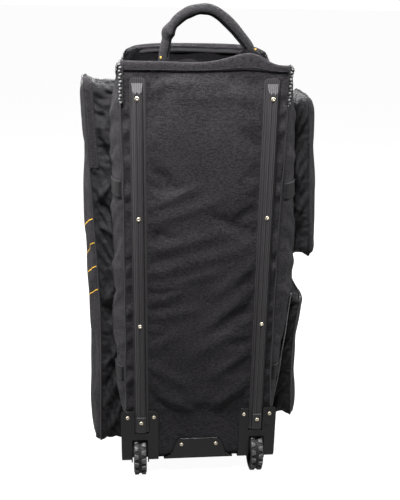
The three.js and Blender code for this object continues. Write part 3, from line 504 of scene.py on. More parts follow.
# The tyre's body between the lugs is painted darker as the shade in the grooves, and the lugs are
# painted lighter as the light they catch.
SHADED_TYRE_RUBBER = Rubber("tyre rubber", (0.005, 0.0048, 0.0052), 0.6)
LIT_TREAD_RUBBER = Rubber("tread rubber", (0.042, 0.041, 0.043), 0.36)
HUB_PLASTIC = Moulded("hub plastic", (0.02, 0.0195, 0.0205), 0.4)
RIVET_STEEL = Plated("rivet steel", (0.74, 0.68, 0.56), 0.30)
AXLE_STEEL = Plated("axle steel", (0.6, 0.6, 0.61), 0.3)
BLACK_THREAD = Thread("black thread", (0.05, 0.048, 0.051), 0.6)
GOLD_THREAD = Thread("gold thread", (0.75, 0.42, 0.06), 0.5)
FLOOR_PAPER = Paper("floor paper", (0.2, 0.2, 0.2), 0.9)


# Mesh helpers


def finish_piece(
    bm: bmesh.types.BMesh, name: str, finish: Finish, smooth: bool = True
) -> bpy.types.Object:
    """Turns a bmesh into a shown, dressed object at the origin.

    Args:
        bm: The mesh, which is freed.
        name: The piece's name.
        finish: Its finish.
        smooth: Whether its faces shade smoothly.

    Returns:
        The new object.
    """
    mesh = bpy.data.meshes.new(name)
    for face in bm.faces:
        face.smooth = smooth
    bm.to_mesh(mesh)
    bm.free()
    piece = bpy.data.objects.new(name, mesh)
    bpy.context.scene.collection.objects.link(piece)
    finish.dress(piece)
    return piece


def report(piece: bpy.types.Object, body: str, *nodes: str, slot: str | None = None) -> None:
    """Seats a finished piece on its body.

    Args:
        piece: The piece.
        body: The CAD body that carries it.
        nodes: The CAD nodes that it stands for.
        slot: The record's material slot; not used.
    """
    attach(piece, body)
    if nodes:
        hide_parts(*nodes)
    LOG.info("%s on %s", piece.name, body)


def flow(xs: Sequence[float], ys: Sequence[float], at: Array) -> Array:
    """Runs a smooth curve through rows of a table.

    Args:
        xs: The rows' places, rising.
        ys: The rows' values.
        at: Where to read the curve.

    Returns:
        The curve's values.
    """
    xs, ys = np.asarray(xs, float), np.asarray(ys, float)
    slopes = np.gradient(ys, xs)
    at = np.clip(at, xs[0], xs[-1])
    i = np.clip(np.searchsorted(xs, at, side="right") - 1, 0, len(xs) - 2)
    span = xs[i + 1] - xs[i]
    t = (at - xs[i]) / span
    a = (2 * t**3 - 3 * t**2 + 1) * ys[i] + (t**3 - 2 * t**2 + t) * span * slopes[i]
    b = (3 * t**2 - 2 * t**3) * ys[i + 1] + (t**3 - t**2) * span * slopes[i + 1]
    return a + b


def ease(low: float, high: float, at: Array) -> Array:
    """Rises smoothly from 0 at low to 1 at high."""
    t = np.clip((at - low) / (high - low), 0.0, 1.0)
    return t * t * (3.0 - 2.0 * t)


def ripple(u: Array, v: Array, size: float, seed: int, stretch: float = 1.0) -> Array:
    """Adds up seeded waves into smooth noise of about -1 to 1.

    Args:
        u: Places across, in metres.
        v: Places along, in metres.
        size: The usual length of a wave, in metres.
        seed: Which noise.
        stretch: How many times longer the waves are along v.

    Returns:
        The noise at each place.
    """
    rng = np.random.default_rng(SEED + seed)
    total = np.zeros_like(u, dtype=float)
    count = 9
    for _ in range(count):
        angle, phase = rng.uniform(0, math.pi), rng.uniform(0, math.tau)
        length = size * rng.uniform(0.6, 1.7)
        run = u * math.cos(angle) + v / stretch * math.sin(angle)
        total += np.sin(math.tau * run / length + phase)
    return total / math.sqrt(count) * 0.8


@dataclass(frozen=True)
class Fold:
    """A soft fold along a straight run of cloth, in the sheet's own metres."""

    start: tuple[float, float]
    end: tuple[float, float]
    width: float
    depth: float

    def height(self, u: Array, v: Array) -> Array:
        """How far the fold lifts the cloth at each place.

        Args:
            u: Places across the sheet.
            v: Places along it.

        Returns:
            The heights.
        """
        (u0, v0), (u1, v1) = self.start, self.end
        du, dv = u1 - u0, v1 - v0
        length2 = du * du + dv * dv
        along = ((u - u0) * du + (v - v0) * dv) / length2
        off = ((u - u0) * dv - (v - v0) * du) / math.sqrt(length2)
        taper = ease(-0.15, 0.25, along) * (1.0 - ease(0.7, 1.1, along))
        return self.depth * taper * np.exp(-((off / self.width) ** 2))


def sheet(
    name: str, cells: tuple[int, int], place: Place, finish: Finish, loop: bool = False
) -> bpy.types.Object:
    """Lays a grid of cloth.

    Args:
        name: The piece's name.
        cells: The number of cells across and along.
        place: Gives places from across and along, each 0 to 1. Across, then along,
            then outwards turn like the fingers of a right hand.
        finish: The cloth.
        loop: Whether the first and last rows across are the same.

    Returns:
        The piece.
    """
    bm = bmesh.new()
    bmesh.ops.create_grid(bm, x_segments=cells[0], y_segments=cells[1], size=1.0)
    flat = np.array([vert.co for vert in bm.verts])
    across, along = (flat[:, 0] + 1) / 2, (flat[:, 1] + 1) / 2
    weights = bm.verts.layers.float.new("edge_share")
    for vert, point, u, v in zip(bm.verts, place(across, along), across, along, strict=True):
        vert.co = Vector(point)
        vert[weights] = min(v, 1 - v) if loop else min(u, v, 1 - u, 1 - v)
    uv = bm.loops.layers.uv.new("cloth")
    for face in bm.faces:
        for corner in face.loops:
            index = corner.vert.index
            corner[uv].uv = (across[index], along[index])
    if loop:
        bmesh.ops.remove_doubles(bm, verts=bm.verts, dist=WELD)
    return finish_piece(bm, name, finish)


def tube(
    name: str,
    points: Sequence[Vector],
    radius: float | Sequence[float],
    finish: Finish,
    sides: int = 12,
) -> bpy.types.Object:
    """Extrudes a round section along points, closing both ends.

    Args:
        name: The piece's name.
        points: The middle line.
        radius: One radius, or one for each point.
        finish: The finish.
        sides: Faces round the section.

    Returns:
        The piece.
    """
    bm = bmesh.new()
    extrude_tube(bm, points, radius, sides)
    return finish_piece(bm, name, finish)


def extrude_tube(
    bm: bmesh.types.BMesh, points: Sequence[Vector], radius: float | Sequence[float], sides: int
) -> list[list[bmesh.types.BMVert]]:
    """Extrudes a circle along points inside a mesh.

    Args:
        bm: The mesh.
        points: The circle's way.
        radius: One radius, or one for each point.
        sides: Faces round the circle.

    Returns:
        The rings of vertices, one for each point.
    """
    radii = [radius] * len(points) if isinstance(radius, float) else list(radius)
    tangents = [
        (points[min(i + 1, len(points) - 1)] - points[max(i - 1, 0)]).normalized()
        for i in range(len(points))
    ]
    turn = tangents[0].to_track_quat("Z", "Y")
    circle = bmesh.ops.create_circle(bm, segments=sides, radius=1.0, cap_ends=False)
    ring = circle["verts"]
    unit = [vert.co.copy() for vert in ring]
    rings = []
    for i, (point, tangent) in enumerate(zip(points, tangents, strict=True)):
        if i:
            turn = tangents[i - 1].rotation_difference(tangent) @ turn
            edges = list({e for v in ring for e in v.link_edges if e.other_vert(v) in ring})
            fresh = bmesh.ops.extrude_edge_only(bm, edges=edges)["geom"]
            known = {tuple(vert.co): k for k, vert in enumerate(ring)}
            made = [g for g in fresh if isinstance(g, bmesh.types.BMVert)]
            ring = sorted(made, key=lambda vert: known[tuple(vert.co)])
        for vert, base in zip(ring, unit, strict=True):
            vert.co = point + turn @ (base * radii[i])
        rings.append(ring)
    for end in (rings[0], rings[-1]):
        bmesh.ops.contextual_create(bm, geom=end)
    bmesh.ops.recalc_face_normals(bm, faces=bm.faces)
    return rings


def spin_round(
    points: Sequence[tuple[float, float, float]], axis: tuple[int, int, int], steps: int, closed: bool
) -> bmesh.types.BMesh:
    """Spins an outline once round an axis through the origin.

    Args:
        points: The outline.
        axis: The axis.
        steps: Faces round.
        closed: Whether the outline ends where it starts.

    Returns:
        The mesh, its faces outwards.
    """
    bm = bmesh.new()
    start = [bm.verts.new(point) for point in points]
    pairs = zip(start, start[1:] + start[:1]) if closed else zip(start, start[1:])
    edges = [bm.edges.new(pair) for pair in pairs]
    bmesh.ops.spin(
        bm,
        geom=start + edges,
        axis=axis,
        cent=(0, 0, 0),
        steps=steps,
        angle=math.tau,
        use_merge=True,
    )
    bmesh.ops.remove_doubles(bm, verts=bm.verts, dist=WELD)
    bmesh.ops.recalc_face_normals(bm, faces=bm.faces)
    return bm


def vectors(rows: Array) -> list[Vector]:
    """Turns rows of numbers into vectors."""
    return [Vector(row) for row in rows]


def walked(line: Array) -> Array:
    """How far along a line each of its points lies."""
    return np.r_[0.0, np.cumsum(np.linalg.norm(np.diff(line, axis=0), axis=1))]


def between(rows: Array, steps: Array, at: Array) -> Array:
    """Reads rows that lie at rising steps, and in straight runs between them."""
    return np.stack([np.interp(at, steps, column) for column in rows.T], 1)


def resample(points: Sequence[Vector], step: float) -> list[Vector]:
    """Walks a line of points in even steps of about that length."""
    line = np.array(points)
    steps = walked(line)
    count = max(2, round(steps[-1] / step) + 1)
    return vectors(between(line, steps, np.linspace(0.0, steps[-1], count)))


def modify(piece: bpy.types.Object, kind: str, **settings: object) -> None:
    """Adds a modifier with its settings."""
    modifier = piece.modifiers.new(kind.title(), kind)
    for key, value in settings.items():
        setattr(modifier, key, value)


def thicken(piece: bpy.types.Object, wall: float, levels: int = 1) -> None:
    """Gives a sheet its wall inwards and a rounder surface."""
    modify(piece, "SOLIDIFY", thickness=wall, offset=-1.0, use_rim=True)
    if levels:
        modify(piece, "SUBSURF", levels=levels, render_levels=levels)


def dress_node(node: str, finish: Finish, width: float, clamped: bool = True) -> None:
    """Gives a CAD node its finish, and rounds its edges for the light to catch.

    Args:
        node: The node.
        finish: Its finish.
        width: The rounding's width.
        clamped: Whether short edges hold the rounding back.
    """
    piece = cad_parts[node]
    finish.dress(piece)
    round_edges(piece, width, clamped)
    LOG.info("%s dressed", node)


def round_edges(piece: bpy.types.Object, width: float, clamped: bool = True) -> None:
    """Rounds a CAD node's sharp edges.

    Args:
        piece: The node's object.
        width: The rounding's width.
        clamped: Whether short edges hold it back.
    """
    modify(piece, "WELD", merge_threshold=0.00002)
    modify(piece, "DECIMATE", decimate_type="DISSOLVE", angle_limit=math.radians(2))
    modify(
        piece,
        "BEVEL",
        width=width,
        segments=3,
        limit_method="ANGLE",
        angle_limit=math.radians(35),
        use_clamp_overlap=clamped,
        harden_normals=True,
    )


def middle(node: str) -> Vector:
    """The middle of a CAD node's box."""
    low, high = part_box(node)
    return (Vector(low) + Vector(high)) / 2


# Cloth simulation


CLOTH = {
    "quality": 5,
    "mass": 0.3,
    "tension_stiffness": 15,
    "compression_stiffness": 15,
    "shear_stiffness": 5,
    "bending_stiffness": 0.6,
    "air_damping": 3,
    "pin_stiffness": 1.0,
}


def edges_alone(places: Array) -> Array:
    """Holds no place, so that a sheet is held by its edges alone."""
    return np.zeros(len(places))


@dataclass
class Drapery:
    """Cloth that settles together in one simulation.

    Attributes:
        frames: How many frames the cloth is given.
    """

    frames: int = 20
    pieces: list[tuple[bpy.types.Object, float]] = field(default_factory=list)

    def add(
        self,
        piece: bpy.types.Object,
        held: Hold,
        slack: float,
        pressure: float,
        reach: float,
    ) -> None:
        """Lets a piece settle.

        Args:
            piece: A sheet.
            held: Gives from places how firmly each is held, 0 to 1.
            slack: How much longer the cloth is than its frame.
            pressure: How hard the stuffing pushes outwards.
            reach: How far a place may move, in metres.
        """
        share = piece.data.attributes["edge_share"].data
        edge = np.array([item.value for item in share])
        places = np.array([vert.co for vert in piece.data.vertices])
        pins = np.maximum(held(places), (edge < 1e-4).astype(float))
        group = piece.vertex_groups.new(name="held")
        for index, weight in enumerate(pins):
            if weight > 0.01:
                group.add([index], float(weight), "REPLACE")
        cloth = piece.modifiers.new("Cloth", "CLOTH")
        for key, value in CLOTH.items():
            setattr(cloth.settings, key, value)
        cloth.settings.vertex_group_mass = group.name
        cloth.settings.shrink_min = -slack
        cloth.settings.use_pressure = pressure > 0
        cloth.settings.uniform_pressure_force = pressure
        cloth.settings.effector_weights.gravity = 0
        cloth.collision_settings.use_self_collision = False
        cloth.point_cache.frame_start = 1
        cloth.point_cache.frame_end = self.frames
        self.pieces.append((piece, reach))

    def settle(self) -> None:
        """Runs the frames, then keeps each piece's new shape."""
        if not self.pieces:
            return
        scene = bpy.context.scene
        later = [m for piece, _ in self.pieces for m in piece.modifiers if m.type != "CLOTH"]
        for modifier in later:
            modifier.show_viewport = False
        for number in range(1, self.frames + 1):
            scene.frame_set(number)
        graph = bpy.context.evaluated_depsgraph_get()
        for piece, reach in self.pieces:
            moved = piece.evaluated_get(graph).data.vertices
            before = np.array([vert.co for vert in piece.data.vertices])
            after = np.array([vert.co for vert in moved])
            shift = after - before
            length = np.linalg.norm(shift, axis=1, keepdims=True)
            kept = shift * np.minimum(1.0, reach / np.maximum(length, 1e-9))
            piece.modifiers.remove(piece.modifiers["Cloth"])
            piece.vertex_groups.clear()
            piece.data.vertices.foreach_set("co", (before + kept).ravel())
            piece.data.update()
            LOG.info("%s settled by up to %.1f mm", piece.name, 1000 * length.max())
        for modifier in later:
            modifier.show_viewport = True
        scene.frame_set(1)


# The bag's form


@dataclass(frozen=True)
class Section:
    """A level of the body: shares of its half width and of its swelling."""

    at: float
    left: float
    right: float
    front: float
    left_bulge: float
    right_bulge: float
    lid: float
    puff: float


@dataclass(frozen=True)
class Pull:
    """A place where the haul handle lifts the top end."""

    x: float
    y: float
    lift: float
    spread: float


@dataclass(frozen=True)
class BagForm:
    """The stuffed body's smooth surface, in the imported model's frame.

    Sizes are in metres and follow the solids. across runs from -1 at the left to 1
    at the right, inward from 0 at the back panel to 1 at the lid, z from the floor.
    """

    width: float = 0.35
    depth: float = 0.29
    low: float = 0.043
    height: float = 0.952
    edge_radius: float = 0.022
    side_bulge: float = 0.047
    end_bulge: float = 0.0066
    back_puff: float = 0.005
    lid_puff: float = 0.012
    end_dish: float = 0.03
    lid_arch: float = 0.015
    side_sag: float = 0.036
    axle_inward: float = 0.020
    seam_across: float = 0.99
    seam_inward: float = 0.001
    lid_across: float = 0.965
    lid_inward: float = 0.985
    sections: tuple[Section, ...] = (
        Section(0.0231, 1.01, 1.0, 0.99, 0.14, 0.14, 0.25, 0.0),
        Section(0.15, 1.01, 1.0, 1.0, 0.18, 0.2, 0.34, 0.0),
        Section(0.21, 1.01, 0.985, 1.0, 0.37, 0.42, 0.74, 0.6),
        Section(0.32, 1.0, 0.975, 1.0, 0.47, 0.68, 0.95, 1.0),
        Section(0.55, 0.989, 0.971, 0.99, 0.49, 1.0, 1.0, 0.9),
        Section(0.7, 0.986, 0.978, 0.977, 0.49, 0.8, 1.0, 1.0),
        Section(0.88, 0.995, 1.0, 0.97, 0.4, 0.5, 0.8, 0.6),
        Section(0.985, 0.99, 1.015, 0.98, 0.14, 0.14, 0.25, 0.1),
    )
    pulls: tuple[Pull, ...] = (
        Pull(-0.46, 0.25, 0.030, 0.032),
        Pull(0.57, 0.22, 0.056, 0.043),
        Pull(1.02, 0.06, -0.010, 0.030),
        Pull(0.78, 0.0, -0.013, 0.024),
        Pull(-0.30, 0.0, -0.005, 0.070),
    )

    @property
    def origin(self) -> tuple[float, float]:
        """Where the back panel's middle lies in the frame."""
        left, right = middle("axle_left"), middle("axle_right")
        return (left.x + right.x) / 2, left.y - self.axle_inward

    @property
    def top(self) -> float:
        """The height of the body's top edge."""
        return self.low + self.height

    def read(self, column: str, z: Array) -> Array:
        """Reads one column of the sections at heights."""
        levels = [s.at for s in self.sections]
        return flow(levels, [getattr(s, column) for s in self.sections], (z - self.low) / self.height)

    def place(self, x: Array, y: Array, z: Array) -> Array:
        """Turns bag places into places in the frame."""
        ox, oy = self.origin
        x, y, z = np.broadcast_arrays(x, y, z)
        return np.stack([x + ox, y + oy, z], axis=1)

    def half(self, sign: Array, z: Array) -> Array:
        """Half the body's width at heights, on the side of that sign."""
        share = np.where(sign < 0, self.read("left", z), self.read("right", z))
        return share * self.width / 2

    def rise(self, x: Array, y: Array) -> Array:
        """How far the rim and top end lie above the top edge.

        Args:
            x: Places from the bag's middle.
            y: Places inwards from the back panel.

        Returns:
            The heights.
        """
        arch = self.lid_arch * (1 - np.minimum(1.0, np.abs(x) / self.width * 2) ** 4)
        sag = self.side_sag * (np.abs(x) / self.width * 2) ** 4
        inward = y / self.depth
        total = arch * ease(0.6, 1.0, inward)
        total = total - sag * flow((0, 0.2, 0.5, 0.85, 0.95, 1), (0, 0.6, 1, 0.8, 0.4, 0), inward)
        for pull in self.pulls:
            off = np.hypot(x - pull.x * self.width / 2, y - pull.y * self.depth)
            total = total + pull.lift * np.exp(-(off**2) / (2 * pull.spread**2))
        return total

    def top_height(self, x: Array, y: Array) -> Array:
        """The height of the top end's sunken cloth.

        Args:
            x: Places from the bag's middle.
            y: Places inwards from the back panel.

        Returns:
            The heights above the floor.
        """
        half = self.half(x, np.full_like(x, self.top))
        across = np.abs(x) / (half + self.end_bulge * np.sin(math.pi * y / self.depth))
        spread = (across**6 + np.abs(2 * y / self.depth - 1) ** 6) ** (1 / 6)
        inset = np.maximum(0.0, 1 - spread)
        sink = flow((0.0, 0.02, 0.09, 0.25, 1.0), (0.0, 0.10, 0.80, 1.0, 1.0), inset)
        return self.top + self.rise(x, y) - self.end_dish * sink

    def level(self, x: Array, y: Array, share: Array) -> Array:
        """The height a share of the way up a wall that ends at the rim."""
        low = self.low + 0.0025
        tall = low + share * (self.top - low)
        return tall + self.rise(x, y) * ease(0.9, 1.0, share)

    def tuck(self, z: Array) -> Array:
        """How far the walls turn in under the bag near its lower edge."""
        return 0.0087 * np.clip((self.low + self.edge_radius - z) / 0.02, 0.0, 1.0) ** 2

    def side(self, side: Side, inward: Array, z: Array) -> tuple[Array, Array]:
        """A side wall's x and y at shares of the depth.

        Args:
            side: Which wall.
            inward: Shares of the depth.
            z: Heights.

        Returns:
            x and y.
        """
        seams = (self.seam_inward, 0.03, 0.11, 0.3, 0.6, 0.84, 0.94, self.lid_inward)
        swell = flow(seams, (0.0, 0.36, 0.82, 1.0, 0.95, 0.58, 0.14, 0.0), inward)
        across = flow(seams, (self.seam_across, 1, 1, 1, 1, 1, 0.995, self.lid_across), inward)
        half = self.half(np.full_like(z, side.value), z)
        half = half * (1 + (self.read("front", z) - 1) * inward)
        x = half * across + self.side_bulge * self.read(f"{side.word}_bulge", z) * swell
        return side.value * x, inward * self.depth

    def back(self, across: Array, z: Array) -> tuple[Array, Array]:
        """The back panel's x and y."""
        x = across * self.half(across, z)
        shares = (0.0, 0.38, 0.67, 1.0)
        puff = flow(shares, (-1.0, -0.8, 0.0, 0.0), np.abs(across))
        return x, self.back_puff * self.read("puff", z) * np.minimum(puff, 0.0)

    def lid(self, across: Array, z: Array) -> tuple[Array, Array]:
        """The front lid's x and y."""
        half = self.half(across, z) * self.read("front", z)
        puff = flow((0.0, 0.7, self.lid_across), (1.0, 0.5, 0.0), np.abs(across))
        corner = 1.0 - (1.0 - self.lid_inward) * ease(0.8, self.lid_across, np.abs(across))
        return across * half, corner * self.depth + self.lid_puff * self.read("lid", z) * puff


@dataclass
class Studio:
    """The camera, the floor, the world and the lights.

    Attributes:
        eye: Where the camera stands, in metres.
        pitch: Degrees that it looks down.
        yaw: Degrees that it looks to the right.
        roll: Degrees that it leans to the right.
        lens: Its focal length in millimetres.
        glow: The light that the white walls throw on the bag.
        white: How bright the camera sees them.
        lamps: The soft lights' names, places, sizes and watts.
    """

    eye: tuple[float, float, float] = (-0.1414, -1.5859, 1.1265)
    pitch: float = 20.10
    yaw: float = 5.26
    roll: float = 1.04
    lens: float = 50.5
    glow: float = 0.06
    white: float = 1.02
    lamps: tuple[tuple[str, tuple[float, float, float], float, float], ...] = (
        ("key", (-0.20, -0.62, 1.95), 0.45, 56.0),
        ("right", (1.6, -0.05, 1.6), 0.6, 36.0),
        ("left", (-1.7, -0.05, 1.7), 0.6, 58.0),
        ("behind", (0.1, 1.2, 2.2), 0.8, 60.0),
    )

    def build(self) -> None:
        """Sets up everything round the bag."""
        self._camera()
        self._floor()
        self._world()
        for lamp in self.lamps:
            self._light(*lamp)

    def _camera(self) -> None:
        """Places the camera at the photograph's viewpoint."""
        data = bpy.data.cameras.new("camera")
        data.lens = self.lens
        camera = bpy.data.objects.new("camera", data)
        bpy.context.scene.collection.objects.link(camera)
        turn = (
            Matrix.Rotation(math.radians(-self.yaw), 4, "Z")
            @ Matrix.Rotation(math.radians(90 - self.pitch), 4, "X")
            @ Matrix.Rotation(math.radians(self.roll), 4, "Z")
        )
        camera.matrix_world = Matrix.Translation(self.eye) @ turn
        bpy.context.scene.camera = camera

    def _floor(self) -> None:
        """Lays a wide pale floor just under the wheels."""
        bm = bmesh.new()
        bmesh.ops.create_grid(bm, x_segments=4, y_segments=4, size=60.0)
        floor = finish_piece(bm, "floor", FLOOR_PAPER)

    def _world(self) -> None:
        """Surrounds the studio with white walls that throw only a dim light."""
        world = bpy.data.worlds.new("studio")
        world.use_nodes = True
        tree = world.node_tree
        background = tree.nodes["Background"]
        seen = tree.nodes.new("ShaderNodeLightPath")
        strength = tree.nodes.new("ShaderNodeMapRange")
        strength.inputs["To Min"].default_value = self.glow
        strength.inputs["To Max"].default_value = self.white
        tree.links.new(seen.outputs["Is Camera Ray"], strength.inputs["Value"])
        tree.links.new(strength.outputs[0], background.inputs["Strength"])
        background.inputs["Color"].default_value = (1.0, 1.0, 1.0, 1.0)
        bpy.context.scene.world = world

    def _light(
        self, name: str, place: tuple[float, float, float], size: float, power: float
    ) -> None:
        """Hangs a square soft light that looks at the bag's middle.

        Args:
            name: The light's name.
            place: Where it hangs.
            size: Its edge.
            power: Its watts.
        """
        data = bpy.data.lights.new(name, "AREA")
        data.size = size
        data.energy = power
        lamp = bpy.data.objects.new(name, data)
        bpy.context.scene.collection.objects.link(lamp)
        aim = Vector((0.0, 0.0, 0.55)) - Vector(place)
        turn = aim.to_track_quat("-Z", "Y").to_matrix().to_4x4()
        lamp.matrix_world = Matrix.Translation(place) @ turn


BAND_HEIGHTS = {"upper": 0.73225, "lower": 0.28671}
BAND_DROP = 0.007  # how much lower the right side's bands lie


def band_height(side: Side, word: str) -> float:
    """The height of a webbing band's middle."""
    return BAND_HEIGHTS[word] - (BAND_DROP if side is Side.RIGHT else 0.0)


@dataclass
class Shell:
    """The six padded panels of the body and the hems of its top edge."""

    form: BagForm
    drapery: Drapery
    wall: float = 0.003
    cell: float = 0.007
    rail_x: float = 0.138
    rail_hold: float = 0.019
    band_hold: float = 0.021
    hem_stay: float = 0.8
    rim_rolls: tuple[tuple[str, float, float, float], ...] = (
        ("upper", 0.0036, 0.0035, 0.0062),
        ("lower", 0.0046, 0.0130, 0.0078),
    )
    back_folds: tuple[Fold, ...] = (
        Fold((-0.05, 0.925), (0.10, 0.93), 0.012, 0.002),
        Fold((-0.118, 0.690), (0.00, 0.745), 0.011, 0.0034),
        Fold((-0.118, 0.655), (0.05, 0.715), 0.012, 0.0030),
        Fold((-0.118, 0.590), (0.06, 0.640), 0.016, 0.0042),
        Fold((-0.118, 0.540), (0.10, 0.600), 0.015, 0.0034),
        Fold((-0.10, 0.500), (0.05, 0.550), 0.012, 0.0028),
        Fold((0.118, 0.560), (0.02, 0.480), 0.015, 0.0035),
        Fold((0.118, 0.500), (0.00, 0.400), 0.017, 0.0042),
        Fold((-0.118, 0.470), (-0.02, 0.505), 0.012, 0.0030),
        Fold((-0.118, 0.430), (0.00, 0.455), 0.013, 0.0030),
        Fold((0.118, 0.430), (-0.02, 0.330), 0.018, 0.0040),
        Fold((-0.118, 0.345), (-0.05, 0.400), 0.012, 0.0030),
        Fold((0.118, 0.350), (0.01, 0.265), 0.017, 0.0036),
        Fold((-0.118, 0.310), (-0.02, 0.250), 0.014, 0.0034),
        Fold((0.118, 0.270), (0.03, 0.190), 0.014, 0.0030),
        Fold((-0.10, 0.230), (-0.01, 0.180), 0.012, 0.0026),
    )
    side_folds: tuple[Fold, ...] = (
        Fold((0.01, 0.90), (0.16, 0.84), 0.014, 0.004),
        Fold((0.01, 0.80), (0.20, 0.77), 0.014, 0.003),
        Fold((0.02, 0.69), (0.25, 0.60), 0.018, 0.004),
        Fold((0.01, 0.55), (0.16, 0.52), 0.014, 0.003),
        Fold((0.03, 0.42), (0.26, 0.34), 0.018, 0.004),
        Fold((0.02, 0.24), (0.24, 0.20), 0.018, 0.004),
        Fold((0.02, 0.13), (0.26, 0.10), 0.018, 0.004),
        Fold((0.005, 0.93), (0.045, 0.86), 0.006, 0.0035),
        Fold((0.004, 0.84), (0.040, 0.79), 0.005, -0.003),
        Fold((0.006, 0.70), (0.045, 0.64), 0.006, 0.0035),
        Fold((0.004, 0.64), (0.040, 0.56), 0.006, -0.003),
        Fold((0.006, 0.50), (0.045, 0.44), 0.006, 0.0035),
        Fold((0.004, 0.37), (0.040, 0.32), 0.006, 0.0035),
        Fold((0.005, 0.25), (0.040, 0.19), 0.006, 0.0035),
    )

    def build(self) -> None:
        """Builds the panels, which are sewn to each other along their edges."""
        self._back()
        self._lid()
        for side in Side:
            self._side(side)
        self._top()
        self._bottom()
        self._hems()
        self._rim_rolls()

    def _cells(self, width: float, height: float) -> tuple[int, int]:
        """Counts the cells that fill a sheet."""
        return round(width / self.cell), round(height / self.cell)

    def _finish(
        self,
        piece: bpy.types.Object,
        node: str,
        held: Hold,
        slack: float,
        pressure: float,
        reach: float,
    ) -> None:
        """Sets a panel to settle and gives it its wall.

        Args:
            piece: The panel.
            node: The CAD node that it stands for.
            held: Gives from places how firmly each is held.
            slack: How much longer the cloth is than its frame.
            pressure: How hard the stuffing pushes.
            reach: How far a place may move.
        """
        self.drapery.add(piece, held, slack, pressure, reach)
        thicken(piece, self.wall)
        report(piece, BODY, node, slot="cloth")

    def _back(self) -> None:
        """Builds the back panel, held under the rails."""
        form = self.form

        def place(u: Array, v: Array) -> Array:
            """Puffs between the rails and folds where the photograph does."""
            across = (2 * u - 1) * form.seam_across
            flat_z = form.level(across * form.width / 2, np.zeros_like(v), v)
            x, y = form.back(across, flat_z)
            z = form.level(x, np.zeros_like(v), v)
            relief = sum(fold.height(x, z) for fold in self.back_folds)
            strip = ease(0.150, 0.162, np.abs(x)) * (1 - ease(0.166, 0.173, np.abs(x)))
            pucker = ripple(x * 1.4, z, 0.050, 3) * 0.0042 * strip
            soft = ripple(x, z, 0.16, 4, 1.6) * 0.0016
            rails = 1 - np.exp(-(((np.abs(x) - self.rail_x) / 0.016) ** 2))
            edge = ease(0.0, 0.03, v) * ease(0.022, 0.05, 1 - v)
            out = (relief + soft + pucker) * rails * edge
            return form.place(x, y - out + form.tuck(z), z)

        def held(places: Array) -> Array:
            """Holds the strips under the rails and the hem, and the foot a little."""
            x = np.abs(places[:, 0] - form.origin[0])
            z = places[:, 2]
            rail = (np.abs(x - self.rail_x) < self.rail_hold) & (z > 0.12) & (z < 0.955)
            return np.maximum(rail | (z > form.top - 0.026), (z < 0.18) * 0.6)

        piece = sheet("back_panel_cloth", self._cells(form.width, form.height), place, SHELL_CLOTH)
        self._finish(piece, "back_panel", held, slack=0.014, pressure=0.5, reach=0.006)

    def _lid(self) -> None:
        """Builds the front lid."""
        form = self.form

        def place(u: Array, v: Array) -> Array:
            """Swells towards its middle."""
            across = (1 - 2 * u) * form.lid_across
            zero = form.level(across * form.width / 2, np.full_like(v, form.depth), v)
            x, y = form.lid(across, zero)
            z = form.level(x, np.full_like(v, form.depth), v)
            soft = ripple(x, z, 0.14, 6, 0.7) * 0.003 * ease(0, 0.08, v * (1 - v) * u * (1 - u) * 4)
            return form.place(x, y + soft - form.tuck(z), z)

        cells = self._cells(form.width, form.height)
        piece = sheet("front_lid_cloth", cells, place, SHELL_CLOTH)
        self._finish(piece, "front_lid", edges_alone, slack=0.012, pressure=0.5, reach=0.008)

    def _side(self, side: Side) -> None:
        """Builds a side panel, held under its webbing bands.

        Args:
            side: Which side.
        """
        form = self.form
        rows = [band_height(side, word) for word in BAND_HEIGHTS]

        def place(u: Array, v: Array) -> Array:
            """Swells between its seams and dips under the bands."""
            share = u if side is Side.RIGHT else 1 - u
            inward = form.seam_inward + share * (form.lid_inward - form.seam_inward)
            y = inward * form.depth
            x, _ = form.side(side, inward, form.level(np.full_like(v, side.value * 0.17), y, v))
            z = form.level(x, y, v)
            relief = sum(fold.height(y, z) for fold in self.side_folds)
            soft = ripple(y, z, 0.17, 8 + side.value, 0.7) * 0.0016
            swell = (relief + soft) * ease(0.0, 0.05, v) * ease(0.0, 0.03, 1 - v)
            swell = swell * ease(0.0, 0.03, inward) * ease(0.0, 0.08, 1 - inward)
            for row in rows:
                swell = swell * (1 - 0.7 * np.exp(-(((z - row) / 0.02) ** 2)))
            return form.place(x + side.value * (swell - form.tuck(z)), y, z)

        def held(places: Array) -> Array:
            """Holds the strips under the bands."""
            near = [np.abs(places[:, 2] - row) < self.band_hold for row in rows]
            return np.any(near, axis=0) * 0.9

        cells = self._cells(form.depth, form.height)
        piece = sheet(f"side_{side.word}_cloth", cells, place, SHELL_CLOTH)
        self._finish(piece, f"side_{side.word}", held, slack=0.010, pressure=0.5, reach=0.005)

    def _top(self) -> None:
        """Builds the sunken top end inside the rim."""
        form = self.form

        def place(u: Array, v: Array) -> Array:
            """Sinks inside the rim."""
            inward = v * form.lid_inward
            z = np.full_like(v, form.top)
            left, _ = form.side(Side.LEFT, np.maximum(inward, form.seam_inward), z)
            right, _ = form.side(Side.RIGHT, np.maximum(inward, form.seam_inward), z)
            x = left + (right - left) * u
            _, front = form.lid(x / form.width * 2, z)
            y = front * v
            height = form.top_height(x, y)
            rumple = ripple(x, y, 0.07, 15) * 0.004 * ease(0, 0.2, 4 * u * (1 - u) * v * (1 - v) * 4)
            return form.place(x, y, height + rumple)

        cells = self._cells(form.width * 1.2, form.depth * 1.2)
        piece = sheet("top_end_cloth", cells, place, LINING_CLOTH)
        self._finish(piece, "top_end", edges_alone, slack=0.03, pressure=0.3, reach=0.008)

    def _bottom(self) -> None:
        """Builds the bottom end, which rounds up to the panels."""
        form = self.form
        z_low = form.low

